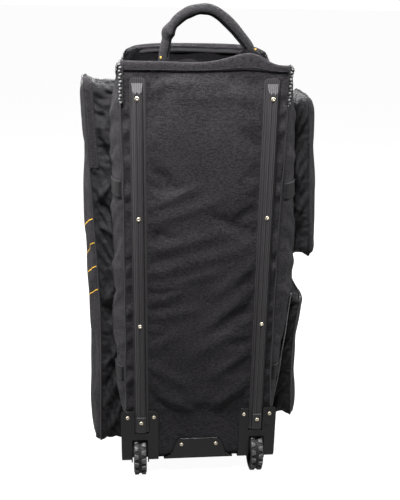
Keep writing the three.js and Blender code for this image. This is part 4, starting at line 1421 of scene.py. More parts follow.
        def place(u: Array, v: Array) -> Array:
            """Lies flat, turned up at its edges."""
            across, inward = (2 * u - 1) * 0.955, 0.5 + (0.5 - v) * 0.955
            edge = np.minimum(1 - np.abs(2 * u - 1), 1 - np.abs(2 * v - 1))
            z = np.full_like(u, z_low + form.edge_radius)
            x = across * (form.half(across, z) + form.end_bulge * np.sin(math.pi * inward))
            up = 0.0035 * (1 - ease(0.0, 0.06, edge))
            return form.place(x, inward * form.depth, z_low + up)

        cells = self._cells(form.width, form.depth)
        piece = sheet("bottom_end_cloth", cells, place, SHELL_CLOTH)
        self._finish(piece, "bottom_end", edges_alone, slack=0.0, pressure=0.0, reach=0.001)

    def _hems(self) -> None:
        """Folds the top end's cloth over the back's and the lid's edges."""
        form = self.form
        out = (-0.0088, -0.0075, -0.005, -0.0008, 0.0014, 0.0022, 0.0021, 0.0018, 0.0012, 0.0004)
        up = (-0.019, -0.008, 0.0005, 0.0022, 0.0008, -0.0030, -0.0095, -0.0140, -0.0160, -0.0170)
        steps = np.linspace(0, 1, len(out))
        for word, sign, front in (("back", -1.0, 0.0), ("lid", 1.0, 1.0)):

            def place(u: Array, v: Array) -> Array:
                """Folds over the edge, from inside to outside."""
                share = form.seam_across - (form.seam_across - form.lid_across) * front
                across = (2 * u - 1) * share * -sign
                z = np.full_like(u, form.top)
                if front:
                    x, y = form.lid(across, z)
                else:
                    x, y = form.back(across, z)
                crimp = ripple(x, v * 0.02, 0.06, 21) * 0.0004
                roll = flow(steps, out, v) + crimp * np.sin(math.pi * v)
                lift = flow(steps, up, v) * (1 + 0.03 * ripple(x, v * 0, 0.09, 22))
                stay = 1 - self.hem_stay * ease(0.4, 1.0, v) * (1 - front)
                level = form.top + form.rise(x, y) * stay + 0.0012
                return form.place(x, y + sign * roll, level + lift)

            piece = sheet(f"top_hem_{word}", (110, 26), place, SHELL_CLOTH)
            thicken(piece, 0.0012)
            report(piece, BODY, "top_end", slot="cloth")
            self._hem_stitch(word, sign, front)

    def _rim_rolls(self) -> None:
        """Rolls two bands of cloth along the inside of the lid's edge."""
        form = self.form
        for word, radius, drop, inward in self.rim_rolls:
            across = np.linspace(-0.95, 0.95, 90)
            x, y = form.lid(across, np.full_like(across, form.top))
            sway = ripple(x, x * 0, 0.12, 25) * 0.0012
            z = form.top + form.rise(x, y) - drop + sway
            points = vectors(form.place(x, y - inward, z))
            roll = tube(f"lid_roll_{word}", points, radius, GUSSET_CLOTH, 12)
            report(roll, BODY, slot="cloth")

    def _hem_stitch(self, word: str, sign: float, front: float) -> None:
        """Sews the hem down along its fold.

        Args:
            word: Which hem.
            sign: The way outwards, along y.
            front: 1 at the lid, 0 at the back panel.
        """
        form = self.form
        across = np.linspace(-0.93, 0.93, 160)
        top = np.full_like(across, form.top)
        x, y = form.lid(across, top) if front else form.back(across, top)
        z = form.top + form.rise(x, y) * (1 - self.hem_stay * 0.8 * (1 - front)) - 0.0128
        line = vectors(form.place(x, y + sign * 0.0033, z))
        out = [Vector((0, sign, 0))] * len(line)
        report(stitches(f"top_hem_stitch_{word}", line, out, BLACK_THREAD), BODY, slot="cloth")


@dataclass
class Seamwork:
    """Piping on the back corners, the main zip and its slider."""

    form: BagForm
    piping_radius: float = 0.0019
    piping_low: float = 0.1876
    piping_high: float = 0.912
    zip_start: float = 0.915
    zip_floor: float = 0.065
    slider_half: float = 0.009
    pitch: float = 0.0069

    def build(self) -> None:
        """Builds both sides."""
        for side in Side:
            self._piping(side)
            self._zip(side)
        self._slider()

    def corner(self, side: Side, z: Array) -> Array:
        """Places on a back corner seam."""
        x, y = self.form.side(side, np.full_like(z, self.form.seam_inward), z)
        return self.form.place(x, y, z)

    def _piping(self, side: Side) -> None:
        """Builds a length of piping with a slight wander.

        Args:
            side: Which corner.
        """
        z = np.linspace(self.piping_low, self.piping_high, 150)
        line = self.corner(side, z)
        line[:, 0] += ripple(z, z * 0, 0.09, 31) * 0.0007
        points = vectors(line)
        piece = tube(f"corner_piping_{side.word}", points, self.piping_radius, EDGE_BINDING, 10)
        report(piece, BODY, f"piping_{side.word}", slot="piping")

    def zip_line(self, side: Side) -> tuple[list[Vector], list[Vector]]:
        """Follows the main zip.

        Args:
            side: Which half.

        Returns:
            Points along it and the way outwards at each.
        """
        form = self.form
        up = np.linspace(self.zip_start, form.top, 24)
        first = self.corner(side, up)
        inward = np.linspace(form.seam_inward, form.lid_inward, 60)
        x, y = form.side(side, inward, np.full(60, form.top))
        rim = form.place(x, y, form.top + form.rise(x, y))
        first[:, 2] += (rim[0, 2] - form.top) * ease(0.9, 1.0, (up - form.low) / form.height)
        down = np.linspace(form.top, self.zip_floor, 160)
        x, y = form.side(side, np.full(160, form.lid_inward), down)
        lift = form.rise(x, y) * ease(0.9, 1.0, (down - form.low) / form.height)
        last = form.place(x, y, down + lift)
        span = np.linspace(form.lid_across, self.slider_half / form.width * 2, 40)
        x, y = form.lid(side.value * span, np.full(40, self.zip_floor))
        foot = form.place(x, y, np.full(40, self.zip_floor))
        line = np.concatenate([first, rim[1:], last[1:], foot[1:]])
        points = resample(vectors(line), self.pitch / 3)
        array = np.array(points)
        for _ in range(4):
            array[1:-1] = (array[:-2] + array[1:-1] * 2 + array[2:]) / 4
        ox, oy = form.origin
        heart = array.copy()
        heart[:, 0] = ox + (array[:, 0] - ox) * 0.2
        heart[:, 1] = oy + form.depth / 2 + (array[:, 1] - oy - form.depth / 2) * 0.2
        heart[:, 2] = np.clip(array[:, 2], 0.14, form.top - 0.11)
        return vectors(array), [Vector(p).normalized() for p in array - heart]

    def _zip(self, side: Side) -> None:
        """Builds one half of the zip, its tape under its teeth.

        Args:
            side: Which half.
        """
        points, outs = self.zip_line(side)
        tape = ribbon(f"zip_tape_{side.word}", points, outs, 0.017, 0.0006, ZIP_TAPE)
        thicken(tape, 0.001, 0)
        report(tape, BODY, f"zip_{side.word}", slot="zip")
        teeth = zip_teeth(f"zip_teeth_{side.word}", points[::3], outs[::3], 0.0078, self.pitch)
        report(teeth, BODY, f"zip_{side.word}", slot="zip")

    def _slider(self) -> None:
        """Dresses the slider at the lid's foot and hangs its pull."""
        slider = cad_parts["zip_slider"]
        round_edges(slider, 0.0012)
        RIVET_STEEL.dress(slider)
        low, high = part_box("zip_slider")
        centre = middle("zip_slider")
        bm = bmesh.new()
        bmesh.ops.create_cube(bm, size=1.0)
        bmesh.ops.scale(bm, vec=(0.007, 0.0018, 0.024), verts=bm.verts)
        bevel_all(bm, 0.0006)
        place = Vector((centre.x, high.y + 0.0012, low.z - 0.009))
        bmesh.ops.translate(bm, vec=place, verts=bm.verts)
        pull = finish_piece(bm, "zip_pull", RIVET_STEEL, smooth=False)
        report(pull, BODY, slot="steel")


def bevel_all(bm: bmesh.types.BMesh, width: float, segments: int = 1) -> None:
    """Rounds every edge of a mesh.

    Args:
        bm: The mesh.
        width: The rounding's width.
        segments: Faces across it.
    """
    bmesh.ops.bevel(
        bm,
        geom=list(bm.edges),
        offset=width,
        affect="EDGES",
        segments=segments,
        profile=0.5,
        material=-1,
    )


def ribbon(
    name: str,
    points: Sequence[Vector],
    outs: Sequence[Vector],
    width: float,
    lift: float,
    finish: Finish,
) -> bpy.types.Object:
    """Lays a flat band along points.

    Args:
        name: The piece's name.
        points: The band's middle line.
        outs: The way outwards at each point.
        width: The band's width.
        lift: How far it lies off the line, outwards.
        finish: Its finish.

    Returns:
        The piece.
    """
    line, out = np.array(points), np.array(outs)
    along = np.gradient(line, axis=0)
    across = np.cross(along, out)
    across /= np.linalg.norm(across, axis=1, keepdims=True)
    rise = np.cross(across, along)
    rise /= np.linalg.norm(rise, axis=1, keepdims=True)
    shares = np.linspace(0, 1, len(line))

    def place(u: Array, v: Array) -> Array:
        """Follows the line, with its crown."""
        at, side, up = (between(rows, shares, u) for rows in (line, across, rise))
        off = (v - 0.5) * width
        crown = lift * (1 - 0.4 * (2 * v - 1) ** 2)
        return at - side * off[:, None] + up * crown[:, None]

    return sheet(name, (len(line) - 1, 4), place, finish)


def zip_teeth(
    name: str, points: Sequence[Vector], outs: Sequence[Vector], width: float, pitch: float
) -> bpy.types.Object:
    """Sets coarse moulded teeth along points, by turns to either side.

    Args:
        name: The piece's name.
        points: One point for each tooth.
        outs: The way outwards at each.
        width: The chain's width.
        pitch: The teeth's spacing.

    Returns:
        The piece.
    """
    bm = bmesh.new()
    for i, (point, out) in enumerate(zip(points, outs, strict=True)):
        ahead = points[min(i + 1, len(points) - 1)] - points[max(i - 1, 0)]
        across = ahead.cross(out).normalized()
        ahead = across.cross(out).normalized()
        lean = -1 if i % 2 else 1
        basis = Matrix((ahead, across, out.normalized())).transposed().to_4x4()
        shift = point + across * lean * width * 0.16 + out * 0.0016
        made = bmesh.ops.create_cube(bm, size=1.0)["verts"]
        size = Matrix.Diagonal((pitch * 0.74, width * 0.9, width * 0.5, 1.0))
        bmesh.ops.transform(bm, matrix=Matrix.Translation(shift) @ basis @ size, verts=made)
    bevel_all(bm, width * 0.10)
    return finish_piece(bm, name, ZIP_TEETH)


@dataclass
class RivetSet:
    """Every pressed rivet: a dimpled head over a washer's rim."""

    head: float = 0.0047
    dome: float = 0.0021
    segments: int = 28

    def build(self) -> None:
        """Replaces each rivet's plain solid."""
        for node in sorted(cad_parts):
            if "_rivet_" in node:
                self._rivet(node)

    def _rivet(self, node: str) -> None:
        """Spins one head where its solid stands, facing out.

        Args:
            node: The rivet's solid.
        """
        centre, near = middle(node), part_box(node)[0][1]
        profile = (
            (0.0, 0.34),
            (0.16, 0.36),
            (0.3, 0.5),
            (0.36, 0.92),
            (0.5, 1.02),
            (0.78, 0.78),
            (0.96, 0.4),
            (1.0, 0.1),
            (0.98, -0.5),
        )
        outline = [(self.head * r, 0.0, self.dome * h) for r, h in profile]
        bm = spin_round(outline, (0, 0, 1), self.segments, closed=False)
        turn = Matrix.Rotation(math.radians(90), 4, "X")
        place = Matrix.Translation((centre.x, near + self.dome, centre.z))
        bmesh.ops.transform(bm, matrix=place @ turn, verts=bm.verts)
        piece = finish_piece(bm, f"{node}_head", RIVET_STEEL)
        report(piece, BODY, node, slot="steel")


@dataclass
class RunningGear:
    """Tyres with moulded lugs, hubs, axles, housings, kick plate and feet."""

    radius: float = 0.052
    width: float = 0.031
    tread: float = 0.0026
    lugs: int = 16
    hub_radius: float = 0.035
    segments: int = 96

    def build(self) -> None:
        """Builds the tyres and dresses the moulded parts."""
        for side in Side:
            self._tyre(side)
            AXLE_STEEL.dress(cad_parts[f"axle_{side.word}"])
            dress_node(f"hub_{side.word}", HUB_PLASTIC, 0.001)
            dress_node(f"wheel_housing_{side.word}", HOUSING_PLASTIC, 0.0034)
            dress_node(f"foot_{side.word}", HOUSING_PLASTIC, 0.002)
        dress_node("kick_plate", HOUSING_PLASTIC, 0.0016, False)

    def _tyre(self, side: Side) -> None:
        """Spins a tyre and adds two staggered rows of lugs.

        Args:
            side: Which wheel.
        """
        centre = middle(f"tyre_{side.word}")
        half, body = self.width / 2, self.radius - self.tread
        profile = (
            (-half * 0.86, self.hub_radius),
            (-half, self.hub_radius + 0.003),
            (-half, body - 0.004),
            (-half * 0.92, body - 0.0012),
            (-half * 0.8, body),
            (-half * 0.12, body),
            (0.0, body - 0.0012),
            (half * 0.12, body),
            (half * 0.8, body),
            (half * 0.92, body - 0.0012),
            (half, body - 0.004),
            (half, self.hub_radius + 0.003),
            (half * 0.86, self.hub_radius),
        )
        outline = [(x, 0.0, r) for x, r in profile]
        bm = spin_round(outline, (1, 0, 0), self.segments, closed=True)
        bmesh.ops.translate(bm, vec=centre, verts=bm.verts)
        # The tyre's body takes the rubber painted dark as the shade between the lugs.
        piece = finish_piece(bm, f"tyre_{side.word}_rubber", SHADED_TYRE_RUBBER)
        mark_sharp(piece, 40)
        report(piece, f"wheel_{side.word}", f"tyre_{side.word}", slot="tyre")
        bm = bmesh.new()
        for row in (-1, 1):
            for i in range(self.lugs):
                angle = math.tau * (i + (0.5 if row > 0 else 0.0)) / self.lugs
                self._lug(bm, row, angle, body)
        bmesh.ops.translate(bm, vec=centre, verts=bm.verts)
        # The lugs take the rubber painted lighter, as the light they catch.
        piece = finish_piece(bm, f"tyre_{side.word}_tread", LIT_TREAD_RUBBER)
        mark_sharp(piece, 40)
        report(piece, f"wheel_{side.word}", f"tyre_{side.word}", slot="tyre")

    def _lug(self, bm: bmesh.types.BMesh, row: int, angle: float, body: float) -> None:
        """Adds one rounded lug, pointed towards the tyre's middle.

        Args:
            bm: The tread.
            row: -1 for the left row, 1 for the right.
            angle: Where round the tyre.
            body: The tyre's radius between the lugs.
        """
        pitch = math.tau * self.radius / self.lugs
        made = bmesh.ops.create_cube(bm, size=1.0)["verts"]
        size = Matrix.Diagonal((self.width * 0.36, pitch * 0.76, self.tread + 0.0012, 1.0))
        bmesh.ops.transform(bm, matrix=size, verts=made)
        inner = [v for v in made if v.co.x * row < 0]
        bmesh.ops.scale(bm, vec=(1.0, 0.62, 1.0), verts=inner)
        top = [v for v in made if v.co.z > 0]
        bmesh.ops.scale(bm, vec=(0.86, 0.86, 1.0), verts=top)
        edges = list({edge for v in made for edge in v.link_edges})
        rounded = bmesh.ops.bevel(
            bm, geom=edges, offset=0.0011, affect="EDGES", segments=2, profile=0.5, material=-1
        )["verts"]
        lift = body + self.tread / 2 - 0.0006
        place = Matrix.Translation((row * self.width * 0.28, 0.0, lift))
        turn = Matrix.Rotation(angle, 4, "X")
        bmesh.ops.transform(bm, matrix=turn @ place, verts=rounded)


def mark_sharp(piece: bpy.types.Object, degrees: float) -> None:
    """Keeps edges sharper than an angle crisp in a smooth piece.

    Args:
        piece: The piece, whose faces are smooth.
        degrees: The sharpest angle that stays smooth.
    """
    bm = bmesh.new()
    bm.from_mesh(piece.data)
    limit = math.radians(degrees)
    for edge in bm.edges:
        edge.smooth = len(edge.link_faces) != 2 or edge.calc_face_angle(0.0) < limit
    bm.to_mesh(piece.data)
    bm.free()


@dataclass
class GlideRails:
    """The two moulded rails and their end blocks."""

    def build(self) -> None:
        """Dresses the rails and blocks, whose solids hold their true shape."""
        for side in Side:
            dress_node(f"rail_{side.word}", RAIL_PLASTIC, 0.0009)
            dress_node(f"rail_block_{side.word}", RAIL_PLASTIC, 0.0016)


@dataclass
class HaulHandle:
    """The arched grip on the top end, its webbing feet and bar tacks."""

    form: BagForm
    radius: float = 0.0115
    span: float = 0.180
    rise: float = 0.096
    base: float = 1.001
    x: float = 0.008
    y: float = 0.070
    tab: tuple[float, float] = (0.046, 0.040)
    arch: tuple[tuple[float, float], ...] = (
        (-0.5, -0.24),
        (-0.5, 0.0),
        (-0.475, 0.26),
        (-0.445, 0.51),
        (-0.37, 0.71),
        (-0.25, 0.89),
        (-0.09, 0.99),
        (0.03, 0.98),
        (0.16, 0.86),
        (0.285, 0.66),
        (0.38, 0.47),
        (0.5, 0.17),
        (0.53, -0.02),
    )
    pinches: tuple[tuple[float, float, float], ...] = (
        (0.0, 0.05, -0.12),
        (0.185, 0.014, -0.13),
        (0.235, 0.024, 0.30),
        (0.295, 0.016, -0.13),
        (0.42, 0.03, 0.06),
        (0.50, 0.02, -0.07),
        (0.72, 0.05, 0.08),
        (1.0, 0.05, -0.12),
    )

    tacks: tuple[tuple[str, float, float, float, float], ...] = (
        ("left", -0.089, 0.056, 0.016, 0.006),
        ("right", 0.109, 0.056, 0.005, 0.0035),
        ("far", -0.164, 0.283, 0.003, 0.004),
    )

    def build(self) -> None:
        """Builds the grip, its seam, its feet and their tacks."""
        points = self._line(80)
        shares = np.linspace(0, 1, len(points))
        swell = 1 + sum(d * np.exp(-(((shares - at) / w) ** 2)) for at, w, d in self.pinches)
        swell = swell * (1 + 0.02 * ripple(shares, shares * 0, 0.07, 41))
        radii = (self.radius * swell).tolist()
        bm = bmesh.new()
        rings = extrude_tube(bm, points, radii, 28)
        self._wrap(rings)
        grip = finish_piece(bm, "handle_grip_cloth", GRIP_CLOTH)
        modify(grip, "SUBSURF", levels=1, render_levels=1)
        report(grip, BODY, "handle_grip", slot="cloth")
        self._seam(points, radii)
        for side in Side:
            self._foot(side)
        self._tacks()

    def _line(self, count: int) -> list[Vector]:
        """Follows the grip's middle line in the frame.

        Args:
            count: How many points.

        Returns:
            The points.
        """
        ox, oy = self.form.origin
        rough = [
            Vector((self.x + a * self.span + ox, self.y + oy, self.base + u * self.rise))
            for a, u in self.arch
        ]
        array = np.array(rough)
        steps = walked(array)
        at = np.linspace(0, steps[-1], count)
        return vectors(np.stack([flow(steps, column, at) for column in array.T], 1))

    def _wrap(self, rings: list[list[bmesh.types.BMVert]]) -> None:
        """Wrinkles the wrapped cloth between its pinches.

        Args:
            rings: The grip's rings of vertices.
        """
        for i, ring in enumerate(rings):
            middle_point = sum((v.co for v in ring), Vector()) / len(ring)
            turn = np.linspace(0, math.tau, len(ring), endpoint=False)
            wave = ripple(np.sin(turn) * 0.02 + i * 0.004, np.cos(turn) * 0.02, 0.035, 43)
            for vert, w in zip(ring, wave, strict=True):
                vert.co = middle_point + (vert.co - middle_point) * (1 + 0.03 * float(w))

    def _seam(self, points: list[Vector], radii: list[float]) -> None:
        """Sews the grip shut along its inner, near side.

        Args:
            points: The grip's middle line.
            radii: Its radius at each point.
        """
        ox, _ = self.form.origin
        heart = Vector((self.x + ox, points[0].y, self.base))
        line = []
        for point, radius in zip(points[6:-6], radii[6:-6], strict=True):
            inward = (heart - point).normalized()
            way = (inward * 0.55 + Vector((0.0, -1.0, 0.0)) * 0.8).normalized()
            line.append(point + way * radius * 1.0)
        seam = tube("handle_seam", line, 0.0012, LINING_CLOTH, 8)
        report(seam, BODY, slot="cloth")

    def _foot(self, side: Side) -> None:
        """Lays the webbing tab under one end of the grip and tacks it down.

        Args:
            side: Which end.
        """
        form = self.form
        centre = middle(f"handle_tab_{side.word}")
        ox, oy = form.origin
        cx, cy = centre.x - ox, centre.y - oy

        def place(u: Array, v: Array) -> Array:
            """Lies on the top end."""
            x = cx + (u - 0.5) * self.tab[0]
            y = cy + (v - 0.5) * self.tab[1]
            return form.place(x, y, form.top_height(x, y) + 0.0026)

        piece = sheet(f"handle_foot_{side.word}", (20, 18), place, BAND_WEBBING)
        thicken(piece, 0.002)
        report(piece, BODY, f"handle_tab_{side.word}", slot="webbing")

    def _tacks(self) -> None:
        """Sews the gold bar tacks of the handle's feet and the lid's far corner."""
        for word, across, inward, lift, tall in self.tacks:
            x, y = np.array([across]), np.array([inward])
            z = self.form.top_height(x, y) + lift
            spot = Vector(self.form.place(x, y, z)[0])
            bm = bmesh.new()
            for i in range(4):
                made = bmesh.ops.create_icosphere(bm, subdivisions=2, radius=1.0)["verts"]
                shift = spot + Vector((0.0008 * (i - 1.5), 0.0, 0.0004 * (i % 2)))
                size = Matrix.Diagonal((0.0007, 0.0012, tall / 2, 1.0))
                bmesh.ops.transform(bm, matrix=Matrix.Translation(shift) @ size, verts=made)
            piece = finish_piece(bm, f"tack_{word}", GOLD_THREAD)
            report(piece, BODY, slot="webbing")


@dataclass
class SideBands:
    """Webbing bands sewn flat round the sides."""

    form: BagForm
    width: float = 0.038
    thickness: float = 0.002
    start: float = 0.0032
    end: float = 0.277

    def build(self) -> None:
        """Builds the four bands with two stitch lines on each."""
        for side in Side:
            for word in BAND_HEIGHTS:
                self._band(side, word, band_height(side, word))

    def _surface(self, side: Side, y: Array, z: Array, off: float) -> Array:
        """Places just off the side's cloth."""
        form = self.form
        x, y = form.side(side, y / form.depth, z)
        return form.place(x + side.value * off, y, z)

    def _band(self, side: Side, word: str, row: float) -> None:
        """Builds one band and its stitching.

        Args:
            side: Which side.
            word: The band's name.
            row: Its height.
        """

        def place(u: Array, v: Array) -> Array:
            """Lies round the side."""
            share = u if side is Side.RIGHT else 1 - u
            y = self.start + share * (self.end - self.start)
            z = row + (v - 0.5) * self.width + ripple(y, y * 0, 0.2, 51) * 0.0008
            off = self.thickness + 0.0015 - 0.0006 * (2 * v - 1) ** 4
            return self._surface(side, y, z, off)

        piece = sheet(f"band_{word}_{side.word}", (60, 10), place, BAND_WEBBING)
        thicken(piece, self.thickness, 0)
        report(piece, BODY, f"webbing_{word}_{side.word}", slot="webbing")
        for edge in (-1, 1):
            y = np.linspace(self.start + 0.003, self.end - 0.003, 90)
            z = np.full_like(y, row + edge * (self.width / 2 - 0.003))
            line = vectors(self._surface(side, y, z, self.thickness + 0.0016))
            out = [Vector((side.value, 0, 0))] * len(line)
            name = f"band_stitch_{word}_{side.word}_{'low' if edge < 0 else 'high'}"
            report(stitches(name, line, out, BLACK_THREAD), BODY, slot="webbing")


def stitches(
    name: str,
    points: Sequence[Vector],
    outs: Sequence[Vector],
    finish: Finish,
    pitch: float = 0.0042,
    thread: float = 0.0005,
) -> bpy.types.Object:
    """Sews a row of stitches along points.

    Args:
        name: The piece's name.
        points: The seam's line.
        outs: The way outwards at each point.
        finish: The thread.
        pitch: One stitch and its gap.
        thread: The thread's radius.

    Returns:
        The piece.
    """
    line = np.array(points)
    steps = walked(line)
    places = np.arange(pitch / 2, steps[-1], pitch)
    spots = between(line, steps, places)
    facing = between(np.array(outs), steps, places)
    bm = bmesh.new()
    for i, (spot, way) in enumerate(zip(spots, facing, strict=True)):
        ahead = Vector(spots[min(i + 1, len(spots) - 1)] - spots[max(i - 1, 0)])
        out = Vector(way)
        across = ahead.cross(out).normalized()
        ahead = ahead.normalized()
        out = across.cross(ahead).normalized()
        basis = Matrix((ahead, across, out)).transposed().to_4x4()
        made = bmesh.ops.create_icosphere(bm, subdivisions=1, radius=1.0)["verts"]
        size = Matrix.Diagonal((pitch * 0.4, thread, thread * 1.2, 1.0))
        bmesh.ops.transform(bm, matrix=Matrix.Translation(spot) @ basis @ size, verts=made)
    return finish_piece(bm, name, finish)


@dataclass
class SidePocket:
    """A pocket on a side: a gusset out from the body and a domed face.

    Attributes:
        name: The pocket's name in the model.
        side: The side that carries it.
        low: Its lower edge above the floor.
        high: Its upper edge.
        corner: The radius of its corners.
        far_corner: The radius of its far top corner.
        dome: How far the face swells.
        crown: The share of that near its top.
        reach: Places up the pocket, and the face's distance from the bag's middle
            there, as shares of reach_size.
        slant: How far the top edge drops towards the face.
        lean: The slope of the top edge, down towards the lid.
        droop: How far the gusset's top hangs down at the bag.
        near: Its near edge, inwards from the back panel.
        depth: Its size from there towards the lid.
        root: The gusset's inner edge, from the bag's middle.
        crease: How far the gusset pulls in along its middle.
        puckered: The heights between which the gusset's puckers deepen.
    """

    form: BagForm
    drapery: Drapery
    name: str
    side: Side
    low: float
    high: float
    corner: float
    far_corner: float
    dome: float
    crown: float
    reach: tuple[tuple[float, float], ...]
    slant: float = 0.0
    lean: float = 0.0
    droop: float = 0.0
    near: float = 0.049
    depth: float = 0.200
    reach_size: float = 0.232
    root: float = 0.172
    crease: float = 0.007
    gusset_cell: float = 0.005
    gusset_rows: int = 14
    face_cell: float = 0.007
    wall: float = 0.002
    piping_radius: float = 0.0019
    puckered: tuple[float, float] = (1.1, 1.2)
    folds: tuple[Fold, ...] = ()
    face_folds: tuple[Fold, ...] = ()
    face_finish: Finish = SHELL_CLOTH
    root_piping: bool = False
    piping_finish: Finish = EDGE_BINDING

    def build(self) -> None:
        """Builds the gusset, the face and the piping between them."""
        self._gusset()
        self._face()
        self._piping()
        if self.root_piping:
            self._root_piping()

    def _outline(self, share: Array) -> tuple[Array, Array, Array, Array]:
        """Walks round the pocket's rounded outline.

        Args:
            share: How far round, from the middle of the far edge upwards.

        Returns:
            y and z of each place, and the outline's outward direction there.
        """
        far, near, low, high = self.near + self.depth, self.near, self.low, self.high
        r, far_r = self.corner, self.far_corner
        centres = (
            (far - far_r, high - far_r, far_r, 0.0),
            (near + r, high - r, r, 0.5),
            (near + r, low + r, r, 1.0),
            (far - r, low + r, r, 1.5),
        )
        rows = [(far, (low + high) / 2, 0.0)]
        for cy, cz, radius, start in centres:
            for angle in np.linspace(start, start + 0.5, 13) * math.pi:
                rows.append((cy + radius * math.cos(angle), cz + radius * math.sin(angle), angle))
        rows.append((far, (low + high) / 2, math.tau))
        y, z, angle = np.array(rows).T
        steps = np.r_[0.0, np.cumsum(np.hypot(np.diff(y), np.diff(z)))]
        at = share * steps[-1]
        turn = np.interp(at, steps, angle)
        return np.interp(at, steps, y), np.interp(at, steps, z), np.cos(turn), np.sin(turn)

    def _share(self, z: Array) -> Array:
        """Shares of the way up the pocket at heights."""
        return (z - self.low) / (self.high - self.low)

    def _pull(self, out: Array) -> Array:
        """How far the gusset pulls in at shares of the way out."""
        return self.crease * flow((0, 0.35, 0.7, 1), (0.3, 0.9, 1.0, 0.0), out)

    def _edge_x(self, z: Array) -> Array:
        """The face edge's distance from the bag's middle at heights."""
        at = self._share(z)
        return self.reach_size * flow([r[0] for r in self.reach], [r[1] for r in self.reach], at)

    def _drop(self, y: Array, z: Array, out: Array) -> Array:
        """How far the top hangs down at a share of the way out."""
        at = self._share(z)
        slope = self.slant * out + self.lean * np.maximum(0.0, y - self.near)
        return slope * ease(0.72, 1.0, at) + self.droop * (1 - out) * ease(0.93, 1.0, at)

    def _gusset(self) -> None:
        """Builds the gusset with its crease and its puckers."""
        form = self.form

        def place(u: Array, v: Array) -> Array:
            """Pulls in along its middle, puckered and folded."""
            share = 1 - u if self.side is Side.RIGHT else u
            out = 1 - v
            y, z, ny, nz = self._outline(share)
            pull = self._pull(out)
            run = share * 2 * (self.high - self.low + self.depth)
            seam = ease(0.0, 0.25, out) * (1 - ease(0.8, 1.0, out))
            seam = seam * (1 - 0.8 * np.maximum(nz, 0.0) ** 2)
            crumple = ripple(run + out * 0.14, out * 0.07, 0.06, 62) * 0.0030 * seam
            pucker = ripple(run + out * 0.03, out * 0.06, 0.018, 61) * 0.0014 * seam
            pucker = pucker * (0.2 + 0.8 * ease(*self.puckered, z))
            lift = sum((f.height(out * 0.06, z) for f in self.folds), np.zeros_like(u))
            off = pucker + crumple + lift * seam - pull
            edge = self._edge_x(z)
            x = self.root + out * (edge - self.root)
            z = z - self._drop(y, z, out)
            return form.place(self.side.value * x, y + ny * off, z + nz * off)

        length = 2 * (self.high - self.low + self.depth)
        cells = (round(length / self.gusset_cell), self.gusset_rows)
        piece = sheet(f"{self.name}_gusset_cloth", cells, place, GUSSET_CLOTH, loop=True)
        self.drapery.add(piece, edges_alone, slack=0.03, pressure=0.6, reach=0.006)
        thicken(piece, self.wall)
        report(piece, BODY, f"{self.name}_gusset", slot="gusset")

    def _face(self) -> None:
        """Builds the domed face."""
        form = self.form

        def place(u: Array, v: Array) -> Array:
            """Rounds its corners and swells from its edge."""
            a = (2 * u - 1) * (1 if self.side is Side.RIGHT else -1)
            hy, hz = self.depth / 2, (self.high - self.low) / 2
            y, z = a * hy, (2 * v - 1) * hz
            radius = np.where((y > 0) & (z > 0), self.far_corner, self.corner)
            py = np.maximum(0, np.abs(y) - (hy - radius))
            pz = np.maximum(0, np.abs(z) - (hz - radius))
            length = np.maximum(np.hypot(py, pz), 1e-9)
            squeeze = np.where((py > 0) & (pz > 0), np.maximum(py, pz) / length, 1.0)
            y = np.sign(y) * (np.abs(y) - py + py * squeeze)
            z = np.sign(z) * (np.abs(z) - pz + pz * squeeze)
            inset = np.minimum(hy - np.abs(y), hz - np.abs(z))
            inset = np.where((py > 0) & (pz > 0), radius - np.hypot(py, pz) * squeeze, inset)
            rise = flow((0, 0.001, 0.014, 0.048, 0.1), (0, 0.2, 0.6, 0.93, 1.0), inset)
            z = z + (self.low + self.high) / 2
            at = self._share(z)
            rise = rise * (1 - (1 - self.crown) * ease(0.6, 0.85, at))
            y = y + self.near + hy
            wave = ripple(y, z, 0.19, 71, 0.8) * 0.002 * ease(0, 0.03, inset)
            wave = wave + sum(f.height(y, z) for f in self.face_folds) * ease(0, 0.02, inset)
            x = self._edge_x(z) + self.dome * rise + wave
            z = z - self._drop(y, z, np.ones_like(z))
            return form.place(self.side.value * x, y, z)

        tall = self.high - self.low
        cells = (round(self.depth / self.face_cell), round(tall / self.face_cell))
        piece = sheet(f"{self.name}_face_cloth", cells, place, self.face_finish)
        self.drapery.add(piece, edges_alone, slack=0.008, pressure=0.8, reach=0.005)
        thicken(piece, self.wall)
        report(piece, BODY, f"{self.name}_face", slot="cloth")

    def _piping(self) -> None:
        """Runs piping round the face's edge."""
        share = np.linspace(0, 1, 200)
        y, z, ny, nz = self._outline(share)
        x = self._edge_x(z) + 0.001
        wander = ripple(share * 2, share * 0, 0.07, 81) * 0.0008
        drop = self._drop(y, z, np.ones_like(z))
        line = self.form.place(self.side.value * x, y + ny * wander, z - drop + nz * wander)
        points = vectors(line)
        piece = tube(f"{self.name}_edge", points, self.piping_radius, self.piping_finish, 8)
        report(piece, BODY, f"{self.name}_piping", slot="piping")

    def _root_piping(self) -> None:
        """Runs thin piping down the near seam of the gusset and the bag's side."""
        z = np.linspace(self.low + 0.004, self.high - 0.040, 90)
        inward = np.full_like(z, (self.near - 0.0045) / self.form.depth)
        x, y = self.form.side(self.side, inward, z)
        sway = ripple(z, z * 0, 0.08, 83) * 0.0007
        line = self.form.place(x + self.side.value * (0.0058 + sway), y, z)
        points = vectors(line)
        piece = tube(f"{self.name}_root_piping", points, 0.0016, PALE_BINDING, 8)
        report(piece, BODY, slot="piping")


